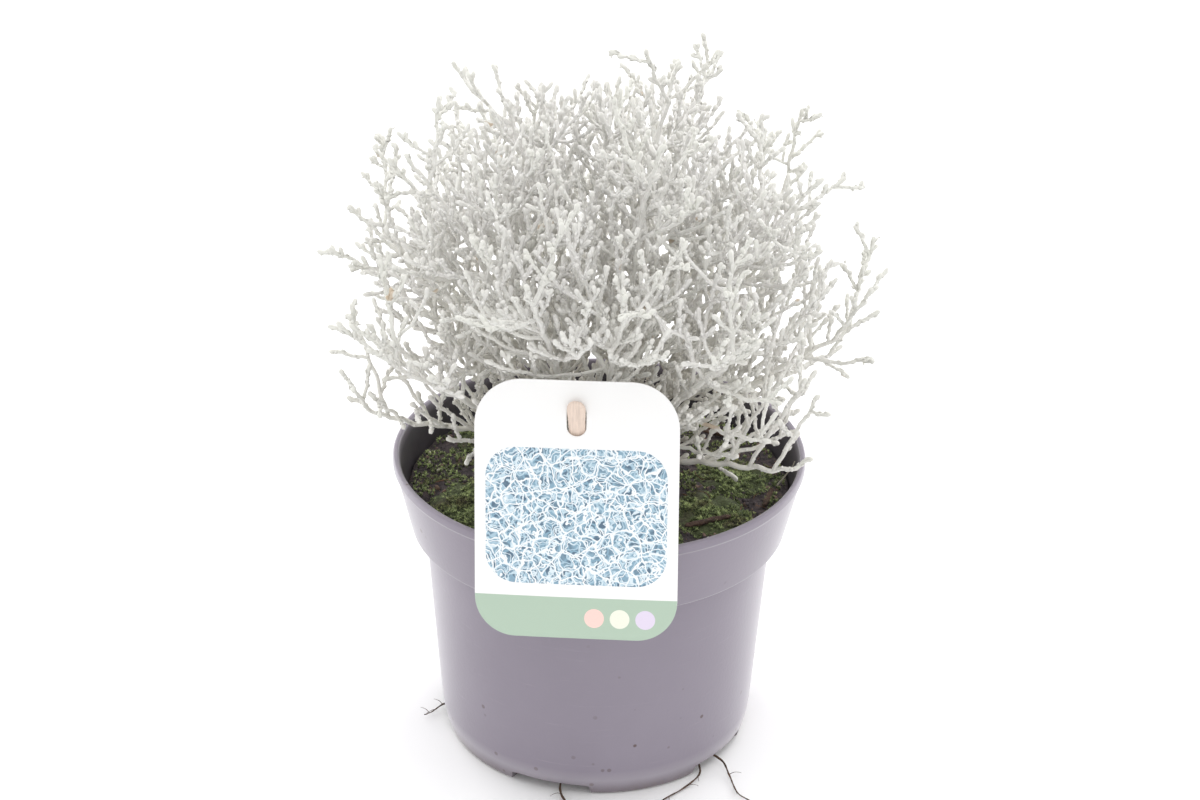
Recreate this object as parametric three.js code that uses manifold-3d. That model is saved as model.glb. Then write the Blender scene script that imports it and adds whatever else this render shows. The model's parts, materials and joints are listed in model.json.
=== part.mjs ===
// A cushion bush in a plastic nursery pot: a globe of silver-white, forking stems that stand in
// compost with moss on it, in a tapered pot with a deep rim band and drain slots at its foot. A card
// label is threaded on a flat stick at the front and leans back over the rim.
// Millimetres, +Z up. The origin is the middle of the pot's underside, and -Y is the front.
import * as THREE from "three";
import { mergeVertices } from "three/addons/utils/BufferGeometryUtils.js";
import Module from "manifold-3d";

const wasm = await Module();
wasm.setup();

// Pot
const POT_HEIGHT = 97;
const RIM_RADIUS = 65;
const BAND_BOTTOM_Z = 72.5;
const BAND_RADIUS = 59.2;
const BODY_RADIUS = 54.8;
const CORNER_RADIUS = 50.2;
const CORNER_Z = 6.5;
const FOOT_RADIUS = 48.5;
const WALL = 1.3;
const LIP_WIDTH = 2;
const LIP_HEIGHT = 2.6;
const LIP_ROUND = 0.7;
const FOOT_RISE = 1;
const FOOT_RING_INNER = 40.5;
const FLOOR_THICKNESS = 2.4;
const PAD_RADIUS = 14;
const POT_SIDES = 30;
const LEDGE_TOP_Z = BAND_BOTTOM_Z + 0.6;
const LEDGE_FOOT_Z = BAND_BOTTOM_Z - 1;
const SLOT_COUNT = 5;
const SLOT_FIRST_DEG = 37;
const SLOT_WIDTH_DEG = 32;
const SLOT_HEIGHT = 3.8;
const SLOT_INNER_RADIUS = 44;

// Compost, moss and bark
const GAP = 0.3;
const SOIL_EDGE_Z = 85;
const SOIL_MIDDLE_Z = 88;
const SOIL_FLAT_RADIUS = 27;
const SOIL_LUMP = 0.7;
const HOLE_DEPTH = 12;
const MOSS_THICKNESS = 2.6;
const MOSS_SIDES = 8;
const MOSS_WAVE = 0.07;
const MOSS_TUFTS = [0.75, 1.25];
const MOSS_PATCHES = [
  { degrees: 206, radius: 43, size: 11.5 },
  { degrees: 238, radius: 44, size: 8.5 },
  { degrees: 290, radius: 42, size: 9.5 },
  { degrees: 326, radius: 41, size: 10.5 },
  { degrees: 2, radius: 42, size: 10 },
  { degrees: 72, radius: 42, size: 12 },
  { degrees: 140, radius: 42, size: 12 },
];
const BARK_CHIPS = [
  { degrees: 308, radius: 53.5, length: 11, width: 2.6, turn: 20 },
  { degrees: 348, radius: 54, length: 12, width: 2.2, turn: -4 },
  { degrees: 38, radius: 49, length: 10, width: 3, turn: 40 },
];
const BARK_THICKNESS = 1.2;
const BARK_TAPER = 0.35;

// Root strands out of the drain slots. Each step goes so far away from the pot, so far round it, and
// to a height.
const ROOT_POINTS = 7;
const ROOT_TAPER = 0.4;
const ROOT_STRANDS = [
  { slot: 181, turn: 3, radius: 0.4, steps: [[3, -1, 1.8], [3, 2, 0.9], [2, 3, 1.6], [1, 3, 3.4]] },
  { slot: 253, turn: 4, radius: 0.6, steps: [[4, 1, 1.4], [5, 4, 0.8], [6, 5, 0.7], [6, 1, 0.7]] },
  { slot: 325, turn: -4, radius: 0.5, steps: [[5, 0, 2.2], [6, -4, 1], [7, -5, 0.7], [8, -1, 0.7]] },
  { slot: 325, turn: -11, radius: 0.5, steps: [[4, -4, 1.6], [1, -8, 0.8], [0, -9, 0.8], [1, -8, 0.8]] },
  { slot: 37, turn: -7, radius: 0.45, steps: [[5, -3, 1.6], [5, 2, 1], [3, 5, 2.5], [2, 2, 5]] },
];

// Label and its stick, whose heights count from the rim. Twigs over the label hang forward by no more
// than LABEL_OVERHANG for each millimetre that they are above its top.
const LABEL_WIDTH = 59.5;
const LABEL_ABOVE_RIM = 52.5;
const LABEL_BELOW_RIM = 25.2;
const LABEL_THICKNESS = 0.6;
const LABEL_TOP_CORNER = 14;
const LABEL_FOOT_CORNER = 12;
const LABEL_AZIMUTH_DEG = -5.6;
const LABEL_LEAN_DEG = 13;
const LABEL_ROLL_DEG = 1.6;
const EYE_BOTTOM = 35;
const EYE_TOP = 45.8;
const EYE_WIDTH = 6.4;
const STICK_WIDTH = 5.6;
const STICK_THICKNESS = 1.2;
const STICK_ABOVE_RIM = 45.6;
const STICK_BELOW_RIM = 49;
const STICK_TOP_Y = -57.2;
const STICK_LEAN_DEG = 5.5;
const LABEL_OVERHANG = 1.85;

// Bush
const SEED = 20405;
const FIRST_AZIMUTH_DEG = 15;
const STEM_COUNT = 20;
const CROWN_RADIUS = 20;
const GLOBE = { z: 146, radius: 85 };
const LOWEST_COSINE = -0.42;
const STEM_REACH = [0.94, 1.01];
const ARM_REACH = 1.02;
const TWIG_REACH = 1.05;
const ARCH_RISE = 0.3;
const ARCH_SPREAD = 0.12;
const ARCH_UPTURN = 0.35;
const ARCH_SWING = 1.6;
const STEM_SIDES = 4;
const STEM_STEPS = 6;
const STEM_ROOT_RADIUS = 1.8;
const STEM_TIP_RADIUS = 1.15;
const STEM_FREE_HEIGHT = 4;
const ARM_RADIUS = 1.25;
const TWIG_RADIUS = 1.25;
const TWIG_SIDES = 3;
const ARM_SUNK_SHARE = 0.6;
const TWIG_SUNK_SHARE = 0.36;
const KNOB_SHARE = 0.8;
const ARM_COUNT = 8;
const ARM_LENGTH = 34;
const FIRST_ARM_SHARE = 0.22;
const LAST_ARM_SHARE = 0.92;
const ARM_DEGREES = [45, 68];
const TWIG_DEGREES = [40, 70];
const TWIG_LENGTH = 11;
const TWIG_SPACING = 12.8;
const LAST_TWIG_SHARE = 0.88;
const BEND = 0.35;
const GOLDEN_ANGLE = Math.PI * (3 - Math.sqrt(5));
const STEM_CLEARANCE = 0.4;
const ROOT_REACH = 3.4;
const MOST_SUNK = 0.6;
const UPTURN = 0.16;
const RANK_DRAW = 0.5;
const RANK_ROOM = 4;
const MOST_ROOM = 14;
const BOWL_RADIUS = 43;
const BOWL_SLOPE = 0.9;
const RING_SHARE = 0.12;
const LENGTH_TRIES = [1, 0.75];
const LIFT_TRIES = 14;
const LIFT_STEP = 0.07;

const colour = (hex, roughness) => new THREE.MeshStandardMaterial({ color: hex, roughness, metalness: 0 });
const potPlastic = colour(0x8f8896, 0.5);
const compostBrown = colour(0x2e231c, 0.95);
const mossGreen = colour(0x4c6222, 0.9);
const barkBrown = colour(0x5a3a28, 0.85);
const rootBrown = colour(0x6b4a36, 0.8);
const silverWool = colour(0xd2d1ca, 0.9);
const cardWhite = colour(0xf6f4f0, 0.45);
const stickWood = colour(0xd9b08c, 0.7);

const rad = THREE.MathUtils.degToRad;
const UP = new THREE.Vector3(0, 0, 1);

// Solids

function solid(geometry) {
  const plain = geometry.index ? geometry.clone() : geometry;
  for (const extra of ["normal", "uv"]) plain.deleteAttribute(extra);
  const merged = mergeVertices(plain, 1e-4);
  const position = merged.getAttribute("position").array;
  const mesh = new wasm.Mesh({
    numProp: 3,
    vertProperties: new Float32Array(position),
    triVerts: new Uint32Array(merged.index.array),
  });
  return new wasm.Manifold(mesh);
}

function named(name, made, material) {
  const out = made.getMesh();
  const geometry = new THREE.BufferGeometry();
  geometry.setAttribute("position", new THREE.BufferAttribute(out.vertProperties, 3));
  geometry.setIndex(new THREE.BufferAttribute(out.triVerts, 1));
  geometry.computeVertexNormals();
  const mesh = new THREE.Mesh(geometry, material);
  mesh.name = name;
  return mesh;
}

// A closed, tapered tube: a cylinder whose rings are carried along a path. It ends in a point.
function taperedTube(path, radii, sides) {
  const rows = path.length - 1;
  const geometry = new THREE.CylinderGeometry(0, 1, 1, sides, rows);
  const frames = ringFrames(path);
  const position = geometry.getAttribute("position");
  const vertex = new THREE.Vector3();
  for (let i = 0; i < position.count; i += 1) {
    vertex.fromBufferAttribute(position, i);
    const row = Math.round((vertex.y + 0.5) * rows);
    const reach = Math.hypot(vertex.x, vertex.z) < 1e-6 ? 0 : radii[row];
    const angle = Math.atan2(vertex.x, vertex.z);
    const { side, over } = frames[row];
    vertex
      .copy(path[row])
      .addScaledVector(side, reach * Math.cos(angle))
      .addScaledVector(over, reach * Math.sin(angle));
    position.setXYZ(i, vertex.x, vertex.y, vertex.z);
  }
  return solid(geometry);
}

// Side and over directions at each point of a path, turned as little as possible from ring to ring.
function ringFrames(path) {
  const frames = [];
  let side = new THREE.Vector3(1, 0, 0);
  for (let i = 0; i < path.length; i += 1) {
    const before = path[Math.max(i - 1, 0)];
    const after = path[Math.min(i + 1, path.length - 1)];
    const along = after.clone().sub(before).normalize();
    side = side.clone().addScaledVector(along, -side.dot(along));
    if (side.length() < 1e-3) side.set(0, 1, 0).addScaledVector(along, -along.y);
    side.normalize();
    frames.push({ side, over: along.clone().cross(side) });
  }
  return frames;
}

// Pot

// Inner radius of the pot's wall at a height.
function innerRadius(z) {
  if (z > BAND_BOTTOM_Z) {
    const share = (z - BAND_BOTTOM_Z) / (POT_HEIGHT - BAND_BOTTOM_Z);
    return THREE.MathUtils.lerp(BAND_RADIUS, RIM_RADIUS - LIP_ROUND, share) - WALL;
  }
  const share = (z - CORNER_Z) / (BAND_BOTTOM_Z - CORNER_Z);
  return THREE.MathUtils.lerp(CORNER_RADIUS, BODY_RADIUS, share) - WALL;
}

function makePot() {
  const lipInner = RIM_RADIUS - LIP_WIDTH;
  const profile = [
    [0, 0],
    [PAD_RADIUS, 0],
    [PAD_RADIUS + FOOT_RISE, FOOT_RISE],
    [FOOT_RING_INNER - FOOT_RISE, FOOT_RISE],
    [FOOT_RING_INNER, 0],
    [FOOT_RADIUS, 0],
    [CORNER_RADIUS, CORNER_Z],
    [BODY_RADIUS, BAND_BOTTOM_Z - LIP_ROUND],
    [BAND_RADIUS - LIP_ROUND, BAND_BOTTOM_Z],
    [BAND_RADIUS, BAND_BOTTOM_Z + LIP_ROUND],
    [RIM_RADIUS - LIP_ROUND, POT_HEIGHT - LIP_HEIGHT - LIP_ROUND],
    [RIM_RADIUS, POT_HEIGHT - LIP_HEIGHT],
    [RIM_RADIUS, POT_HEIGHT - LIP_ROUND],
    [RIM_RADIUS - LIP_ROUND, POT_HEIGHT],
    [lipInner + LIP_ROUND, POT_HEIGHT],
    [lipInner, POT_HEIGHT - LIP_ROUND],
    [innerRadius(POT_HEIGHT - 2 * LIP_HEIGHT), POT_HEIGHT - 2 * LIP_HEIGHT],
    [BAND_RADIUS - WALL, LEDGE_TOP_Z],
    [BODY_RADIUS - WALL, LEDGE_FOOT_Z],
    [innerRadius(CORNER_Z), CORNER_Z],
    [FOOT_RADIUS - WALL, FLOOR_THICKNESS],
    [0, FLOOR_THICKNESS],
  ].map(([r, z]) => new THREE.Vector2(r, z));
  let pot = solid(new THREE.LatheGeometry(profile, POT_SIDES).rotateX(Math.PI / 2));
  for (let k = 0; k < SLOT_COUNT; k += 1) {
    pot = pot.subtract(drainSlot(rad(SLOT_FIRST_DEG + (k * 360) / SLOT_COUNT)));
  }
  return named("pot", pot, potPlastic);
}

// A wedge that opens the wall's foot and the floor's edge, centred on an azimuth.
function drainSlot(azimuth) {
  const half = rad(SLOT_WIDTH_DEG / 2);
  const outer = CORNER_RADIUS + PAD_RADIUS;
  const wedge = new THREE.Shape();
  wedge.moveTo(SLOT_INNER_RADIUS * Math.cos(half), -SLOT_INNER_RADIUS * Math.sin(half));
  wedge.lineTo(outer * Math.cos(half), -outer * Math.sin(half));
  wedge.lineTo(outer * Math.cos(half), outer * Math.sin(half));
  wedge.lineTo(SLOT_INNER_RADIUS * Math.cos(half), SLOT_INNER_RADIUS * Math.sin(half));
  wedge.closePath();
  const cutter = new THREE.ExtrudeGeometry(wedge, { depth: SLOT_HEIGHT + 1, bevelEnabled: false });
  return solid(cutter.translate(0, 0, -1).rotateZ(azimuth));
}

// Compost, with a plain hole for each stem and for the stick

function soilHeight(radius) {
  const edge = innerRadius(SOIL_EDGE_Z);
  const share = THREE.MathUtils.clamp((radius - SOIL_FLAT_RADIUS) / (edge - SOIL_FLAT_RADIUS), 0, 1);
  return THREE.MathUtils.lerp(SOIL_MIDDLE_Z, SOIL_EDGE_Z, share);
}

function makeCompost(cutters) {
  const edge = innerRadius(SOIL_EDGE_Z) - GAP;
  const profile = [
    [0, FLOOR_THICKNESS + GAP],
    [FOOT_RADIUS - WALL - GAP, FLOOR_THICKNESS + GAP],
    [innerRadius(CORNER_Z) - GAP, CORNER_Z],
    [BODY_RADIUS - WALL - GAP, LEDGE_FOOT_Z + 2 * GAP],
    [BAND_RADIUS - WALL - GAP, LEDGE_TOP_Z + 2 * GAP],
    [edge, SOIL_EDGE_Z],
    [SOIL_FLAT_RADIUS, SOIL_MIDDLE_Z],
    [SOIL_FLAT_RADIUS * 0.6, SOIL_MIDDLE_Z],
    [0, SOIL_MIDDLE_Z],
  ].map(([r, z]) => new THREE.Vector2(r, z));
  const body = new THREE.LatheGeometry(profile, POT_SIDES).rotateX(Math.PI / 2);
  const position = body.getAttribute("position");
  for (let i = 0; i < position.count; i += 1) {
    const radius = Math.hypot(position.getX(i), position.getY(i));
    const inner = radius > 1 && radius < SOIL_FLAT_RADIUS - 1 && position.getZ(i) > SOIL_EDGE_Z;
    const turn = Math.atan2(position.getY(i), position.getX(i));
    if (inner) position.setZ(i, position.getZ(i) + SOIL_LUMP * Math.sin(5 * turn) * Math.cos(8 * turn + 1));
  }
  let compost = solid(body);
  for (const cutter of cutters) compost = compost.subtract(cutter);
  return named("compost", compost, compostBrown);
}

// A low cushion of moss: a lathe whose outline waves and whose top rises and falls in tufts.
function makeMoss(patch, index) {
  const profile = [
    [0, 0],
    [1, 0],
    [1.04, 0.35],
    [0.8, 0.85],
    [0.5, 0.95],
    [0, 1.1],
  ].map(([r, z]) => new THREE.Vector2(r, z));
  const cushion = new THREE.LatheGeometry(profile, MOSS_SIDES).rotateX(Math.PI / 2);
  const position = cushion.getAttribute("position");
  const centre = new THREE.Vector3(patch.radius, 0, 0).applyAxisAngle(UP, rad(patch.degrees));
  for (let i = 0; i < position.count; i += 1) {
    const turn = Math.atan2(position.getY(i), position.getX(i));
    const wave = 1 + MOSS_WAVE * (Math.sin(2 * turn + index) + Math.sin(3 * turn + 2 * index));
    const x = centre.x + position.getX(i) * patch.size * wave;
    const y = centre.y + position.getY(i) * patch.size * wave;
    const share = position.getZ(i);
    const side = Math.round((turn / (2 * Math.PI)) * MOSS_SIDES + MOSS_SIDES) % 2;
    const tuft = share > 0.5 && share < 1 ? MOSS_TUFTS[side] : 1;
    position.setXYZ(i, x, y, soilHeight(Math.hypot(x, y)) + GAP + share * tuft * MOSS_THICKNESS);
  }
  return named(`moss_${index + 1}`, solid(cushion), mossGreen);
}

function makeBark(chip, index) {
  const geometry = new THREE.BoxGeometry(chip.length, chip.width, BARK_THICKNESS, 2, 1, 1);
  const position = geometry.getAttribute("position");
  for (let i = 0; i < position.count; i += 1) {
    const share = Math.abs(position.getX(i)) / (chip.length / 2);
    position.setY(i, position.getY(i) * (1 - BARK_TAPER * share));
  }
  const azimuth = rad(chip.degrees);
  const slope = Math.atan2(SOIL_MIDDLE_Z - SOIL_EDGE_Z, innerRadius(SOIL_EDGE_Z) - SOIL_FLAT_RADIUS);
  geometry.rotateZ(rad(90 + chip.turn)).rotateY(slope);
  const lift = soilHeight(chip.radius) + BARK_THICKNESS / 2 + 2 * GAP;
  geometry.translate(chip.radius, 0, lift).rotateZ(azimuth);
  return named(`bark_chip_${index + 1}`, solid(geometry), barkBrown);
}

// Label and stick

// Where the label and its stick stand: at rim height, turned to their azimuth and a little askew.
function labelPlace() {
  const place = new THREE.Group();
  place.position.z = POT_HEIGHT;
  place.rotation.set(0, rad(-LABEL_ROLL_DEG), rad(LABEL_AZIMUTH_DEG), "ZYX");
  place.updateMatrixWorld(true);
  return place;
}

function makeLabel() {
  const half = LABEL_WIDTH / 2;
  const card = new THREE.Shape();
  const footX = half - LABEL_FOOT_CORNER;
  const footY = -LABEL_BELOW_RIM + LABEL_FOOT_CORNER;
  const topX = half - LABEL_TOP_CORNER;
  const topY = LABEL_ABOVE_RIM - LABEL_TOP_CORNER;
  card.moveTo(-footX, -LABEL_BELOW_RIM);
  card.lineTo(footX, -LABEL_BELOW_RIM);
  card.absarc(footX, footY, LABEL_FOOT_CORNER, -Math.PI / 2, 0);
  card.absarc(topX, topY, LABEL_TOP_CORNER, 0, Math.PI / 2);
  card.absarc(-topX, topY, LABEL_TOP_CORNER, Math.PI / 2, Math.PI);
  card.absarc(-footX, footY, LABEL_FOOT_CORNER, Math.PI, 1.5 * Math.PI);
  const eye = new THREE.Path();
  const eyeRadius = EYE_WIDTH / 2;
  eye.absarc(0, EYE_BOTTOM + eyeRadius, eyeRadius, Math.PI, 2 * Math.PI);
  eye.absarc(0, EYE_TOP - eyeRadius, eyeRadius, 0, Math.PI);
  card.holes.push(eye);
  const options = { depth: LABEL_THICKNESS, bevelEnabled: false, curveSegments: 3 };
  const sheet = new THREE.ExtrudeGeometry(card, options).rotateX(Math.PI / 2);
  const label = named("label_card", solid(sheet), cardWhite);
  label.rotation.x = rad(-LABEL_LEAN_DEG);
  label.position.set(0, -RIM_RADIUS - GAP, -LIP_ROUND);
  return label;
}

// The stick, or with grow the room that it needs. Its origin is its tip, and it hangs down from it.
function stickGeometry(grow) {
  const half = STICK_WIDTH / 2 + grow;
  const length = (STICK_ABOVE_RIM + STICK_BELOW_RIM) / Math.cos(rad(STICK_LEAN_DEG)) + grow;
  const strip = new THREE.Shape();
  strip.moveTo(-half, -length);
  strip.lineTo(half, -length);
  strip.lineTo(half, -half);
  strip.absarc(0, -half, half, 0, Math.PI);
  strip.closePath();
  const depth = STICK_THICKNESS + 2 * grow;
  const bar = new THREE.ExtrudeGeometry(strip, { depth, bevelEnabled: false, curveSegments: 5 });
  bar.rotateX(Math.PI / 2).translate(0, depth / 2, 0).rotateX(rad(STICK_LEAN_DEG));
  return bar.translate(0, STICK_TOP_Y, STICK_ABOVE_RIM);
}

function makeStick() {
  return named("label_stick", solid(stickGeometry(0)), stickWood);
}

// The point of the stick's middle line at a height above the rim.
function stickPoint(height) {
  const y = STICK_TOP_Y + (STICK_ABOVE_RIM - height) * Math.tan(rad(STICK_LEAN_DEG));
  return new THREE.Vector3(0, y, height).applyMatrix4(labelPlace().matrixWorld);
}

// A root strand that leaves a drain slot and lies on the ground
function makeRoot(strand, index) {
  const azimuth = rad(strand.slot + strand.turn);
  const out = new THREE.Vector3(Math.cos(azimuth), Math.sin(azimuth), 0);
  const round = new THREE.Vector3(-out.y, out.x, 0);
  const start = out.clone().multiplyScalar(FOOT_RADIUS - WALL + GAP).setZ(FLOOR_THICKNESS + 2 * GAP);
  const path = [start];
  for (const [away, around, z] of strand.steps) {
    const next = path[path.length - 1].clone().addScaledVector(out, away).addScaledVector(round, around);
    path.push(next.setZ(z));
  }
  const curve = new THREE.CatmullRomCurve3(path);
  const points = curve.getPoints(ROOT_POINTS);
  const radii = points.map((_, i) => strand.radius * (1 - (ROOT_TAPER * i) / ROOT_POINTS));
  return named(`root_strand_${index + 1}`, taperedTube(points, radii, 3), rootBrown);
}

// Bush

// A repeatable number from 0 to 1 for a list of whole numbers: which bough, and which of its draws.
function draw(...key) {
  let state = SEED;
  for (const part of key) {
    state = Math.imul(state ^ (part + 0x9e3779b9), 0x85ebca6b) >>> 0;
    state = (state ^ (state >>> 13)) >>> 0;
    state = Math.imul(state, 0xc2b2ae35) >>> 0;
    state = (state ^ (state >>> 16)) >>> 0;
  }
  return state / 4294967296;
}

const between = (low, high, ...key) => low + (high - low) * draw(...key);

// Shortest distance between two straight pieces, from a to b and from c to d.
function pieceDistance(a, b, c, d) {
  const u = b.clone().sub(a);
  const v = d.clone().sub(c);
  const w = a.clone().sub(c);
  const uu = u.dot(u);
  const uv = u.dot(v);
  const vv = v.dot(v);
  const uw = u.dot(w);
  const vw = v.dot(w);
  const area = uu * vv - uv * uv;
  let s = area > 1e-9 ? THREE.MathUtils.clamp((uv * vw - vv * uw) / area, 0, 1) : 0;
  let t = (uv * s + vw) / vv;
  if (t < 0 || t > 1) {
    t = THREE.MathUtils.clamp(t, 0, 1);
    s = THREE.MathUtils.clamp((uv * t - uw) / uu, 0, 1);
  }
  return w.addScaledVector(u, s).addScaledVector(v, -t).length();
}

const pieces = [];
const intoLabelPlace = labelPlace().matrixWorld.invert();

function keepPath(path, radius, stem, bough) {
  for (let i = 1; i < path.length; i += 1) {
    pieces.push({ a: path[i - 1], b: path[i], radius, stem, bough });
  }
}

// True where a bough of this radius would leave the globe or touch pot, compost, moss or label.
function outOfBounds(point, radius, reach) {
  const flat = Math.hypot(point.x, point.y);
  const fromMiddle = Math.hypot(flat, point.z - GLOBE.z);
  if (fromMiddle > GLOBE.radius * reach) return true;
  if (point.z < SOIL_MIDDLE_Z + 2 * MOSS_THICKNESS + radius) return true;
  if (flat > BODY_RADIUS && point.z < POT_HEIGHT + 2 * radius) return true;
  return inFrontOfLabel(point, radius);
}

function inFrontOfLabel(point, radius) {
  const local = point.clone().applyMatrix4(intoLabelPlace);
  if (Math.abs(local.x) > LABEL_WIDTH / 2 + 2 * radius) return false;
  const lean = Math.tan(rad(LABEL_LEAN_DEG));
  const top = LABEL_ABOVE_RIM * Math.cos(rad(LABEL_LEAN_DEG)) + 2 * radius;
  const cardY = -RIM_RADIUS + Math.min(local.z, top) * lean;
  const overhang = Math.max(local.z - top, 0) * LABEL_OVERHANG;
  return local.y < cardY + 2 * radius - overhang;
}

// True where a path is clear of every other stem, and of the other boughs of its own stem.
function isClear(path, radius, stem, parent, reach) {
  for (let i = 1; i < path.length; i += 1) {
    if (outOfBounds(path[i], radius, reach)) return false;
    const step = path[i].distanceTo(path[i - 1]);
    const sunk = i === 1 ? Math.min(ROOT_REACH / step, MOST_SUNK) : 0;
    const rooted = path[i - 1].clone().lerp(path[i], sunk);
    for (const piece of pieces) {
      const own = piece.stem === stem;
      if (own && piece.bough === parent && i === 1) continue;
      const needed = radius + piece.radius + (own ? 0 : STEM_CLEARANCE);
      if (path[i].distanceTo(piece.a) > needed + step + piece.a.distanceTo(piece.b)) continue;
      const from = own ? rooted : path[i - 1];
      if (pieceDistance(from, path[i], piece.a, piece.b) < needed) return false;
    }
  }
  return true;
}

// Side shoots bend towards this direction: half away from the crown, half up.
function growthPull(point) {
  const away = new THREE.Vector3(point.x, point.y, point.z - POT_HEIGHT).normalize();
  return away.add(UP).normalize();
}

// The room round a path: from its points after the first to the nearest piece of another bough
function roomRound(path, parent) {
  const nearest = new THREE.Vector3();
  let room = MOST_ROOM;
  for (const piece of pieces) {
    if (piece.bough === parent) continue;
    const line = new THREE.Line3(piece.a, piece.b);
    for (const point of path.slice(1)) {
      room = Math.min(room, line.closestPointToPoint(point, true, nearest).distanceTo(point));
    }
  }
  return room;
}

// True above the bowl-shaped underside of the bush, which side shoots don't grow below.
function isOverBowl(point) {
  return Math.hypot(point.x, point.y) < BOWL_RADIUS + BOWL_SLOPE * (point.z - SOIL_MIDDLE_Z);
}

// The directions in which a shoot may leave its parent: one out of each flat side. Those that lead
// up and away rank higher, by a rank that a draw disturbs.
function shootHeadings(spot, sides, angle, key) {
  const pull = growthPull(spot.point);
  const headings = [];
  for (let k = 0; k < sides; k += 1) {
    const turn = (Math.PI * (2 * k + 1)) / sides;
    const heading = spot.along.clone().multiplyScalar(Math.cos(angle));
    heading.addScaledVector(spot.side, Math.sin(angle) * Math.cos(turn));
    heading.addScaledVector(spot.over, Math.sin(angle) * Math.sin(turn));
    heading.addScaledVector(pull, UPTURN).normalize();
    headings.push({ heading, rank: heading.dot(pull) + between(-RANK_DRAW, RANK_DRAW, ...key, 21, k) });
  }
  return headings;
}

// A shoot's path of a length in equal steps, each bent a little further up and away.
function shootPath(start, heading, length, steps) {
  const path = [start];
  const way = heading.clone();
  for (let i = 0; i < steps; i += 1) {
    path.push(path[i].clone().addScaledVector(way, length / steps));
    way.addScaledVector(growthPull(path[i + 1]), BEND).normalize();
  }
  return path;
}

// How far it is from a point inside the globe to its surface, along a heading.
function wayOut(point, heading) {
  const from = point.clone().setZ(point.z - GLOBE.z);
  const along = from.dot(heading);
  const inside = Math.max(GLOBE.radius ** 2 - from.lengthSq(), 0);
  return Math.sqrt(along * along + inside) - along;
}

// Tries the shoot out of each side of its parent, the roomiest first, then shorter, and keeps the
// first clear one.
function growShoot(parent, share, key, angle, sizes) {
  const spot = spotOn(parent, share);
  const { longest, steps, radius, reach } = sizes;
  for (const shorter of LENGTH_TRIES) {
    const tries = shootHeadings(spot, parent.sides, angle, key).map(({ heading, rank }) => {
      const length = Math.min(longest, Math.max(wayOut(spot.point, heading), TWIG_LENGTH)) * shorter;
      const path = shootPath(spot.point, heading, length, steps);
      return { path, rank: roomRound(path, parent.bough) + RANK_ROOM * rank };
    });
    for (const { path } of tries.sort((a, b) => b.rank - a.rank)) {
      if (!isOverBowl(path[steps])) continue;
      if (!isClear(path, radius, parent.stem, parent.bough, reach)) continue;
      const bough = pieces.length;
      keepPath(path, radius, parent.stem, bough);
      return { path, radius, stem: parent.stem, bough, sides: TWIG_SIDES };
    }
  }
  return null;
}

// A point a share of the way along a bough, kept off the rings where its flat sides meet.
function spotOn(bough, share) {
  const { path } = bough;
  const at = share * (path.length - 1);
  const i = Math.min(Math.floor(at), path.length - 2);
  const along = path[i + 1].clone().sub(path[i]);
  const off = THREE.MathUtils.clamp(at - i, RING_SHARE, 1 - RING_SHARE);
  const point = path[i].clone().addScaledVector(along, off);
  return { point, ...ringFrames(path)[i], along: along.normalize() };
}

const pathLength = (path) => path.slice(1).reduce((sum, p, i) => sum + p.distanceTo(path[i]), 0);

// A main stem stands in its hole and arches out to its own place on the globe. Where it would touch
// the label or another stem, it ends a little higher.
function mainStem(index) {
  let stem = arch(index, 0);
  for (let lift = 1; lift < LIFT_TRIES; lift += 1) {
    if (isClear(stem.path, STEM_ROOT_RADIUS, index, null, ARM_REACH)) break;
    stem = arch(index, lift * LIFT_STEP);
  }
  const bough = pieces.length;
  keepPath([stem.foot, ...stem.path], STEM_ROOT_RADIUS, index, bough);
  return { ...stem, stem: index, bough, sides: STEM_SIDES };
}

function arch(index, lift) {
  const share = (index + 0.5) / STEM_COUNT;
  const azimuth = rad(FIRST_AZIMUTH_DEG) + index * GOLDEN_ANGLE + between(-0.15, 0.15, index, 1);
  const out = new THREE.Vector3(Math.cos(azimuth), Math.sin(azimuth), 0);
  const crown = CROWN_RADIUS * Math.sqrt(share);
  const cosine = Math.min(1 - (1 - LOWEST_COSINE) * share + lift, 1);
  const sine = Math.sqrt(1 - cosine * cosine);
  const reach = GLOBE.radius * between(...STEM_REACH, index, 2);
  const foot = out.clone().multiplyScalar(crown).setZ(SOIL_MIDDLE_Z - HOLE_DEPTH + GAP);
  const free = foot.clone().setZ(SOIL_MIDDLE_Z + STEM_FREE_HEIGHT);
  const tip = out.clone().multiplyScalar(reach * sine).setZ(GLOBE.z + reach * cosine);
  const span = tip.distanceTo(free);
  const rise = free.clone().addScaledVector(UP, span * ARCH_RISE);
  rise.addScaledVector(out, span * ARCH_SPREAD * sine);
  const tipHeading = out.clone().multiplyScalar(sine).add(UP).normalize();
  const lastPull = tip.clone().addScaledVector(tipHeading, -span * ARCH_UPTURN);
  const curve = new THREE.CubicBezierCurve3(free, rise, lastPull, tip);
  const path = curve.getPoints(STEM_STEPS);
  const swing = new THREE.Vector3(-out.y, out.x, 0);
  for (let i = 1; i < STEM_STEPS; i += 1) {
    path[i].addScaledVector(swing, between(-ARCH_SWING, ARCH_SWING, index, 3, i));
  }
  return { foot, path };
}

function growBush() {
  const stems = [];
  keepPath([stickPoint(-STICK_BELOW_RIM), stickPoint(STICK_ABOVE_RIM)], STICK_WIDTH / 2, -1, -1);
  for (let i = 0; i < STEM_COUNT; i += 1) stems.push({ main: mainStem(i), arms: [], twigs: [] });
  for (let k = 0; k < ARM_COUNT; k += 1) {
    for (const stem of stems) growArm(stem, k);
  }
  for (let k = 0; k < ARM_COUNT; k += 1) {
    for (const stem of stems) growTwigs(stem, k);
  }
  return stems;
}

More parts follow.
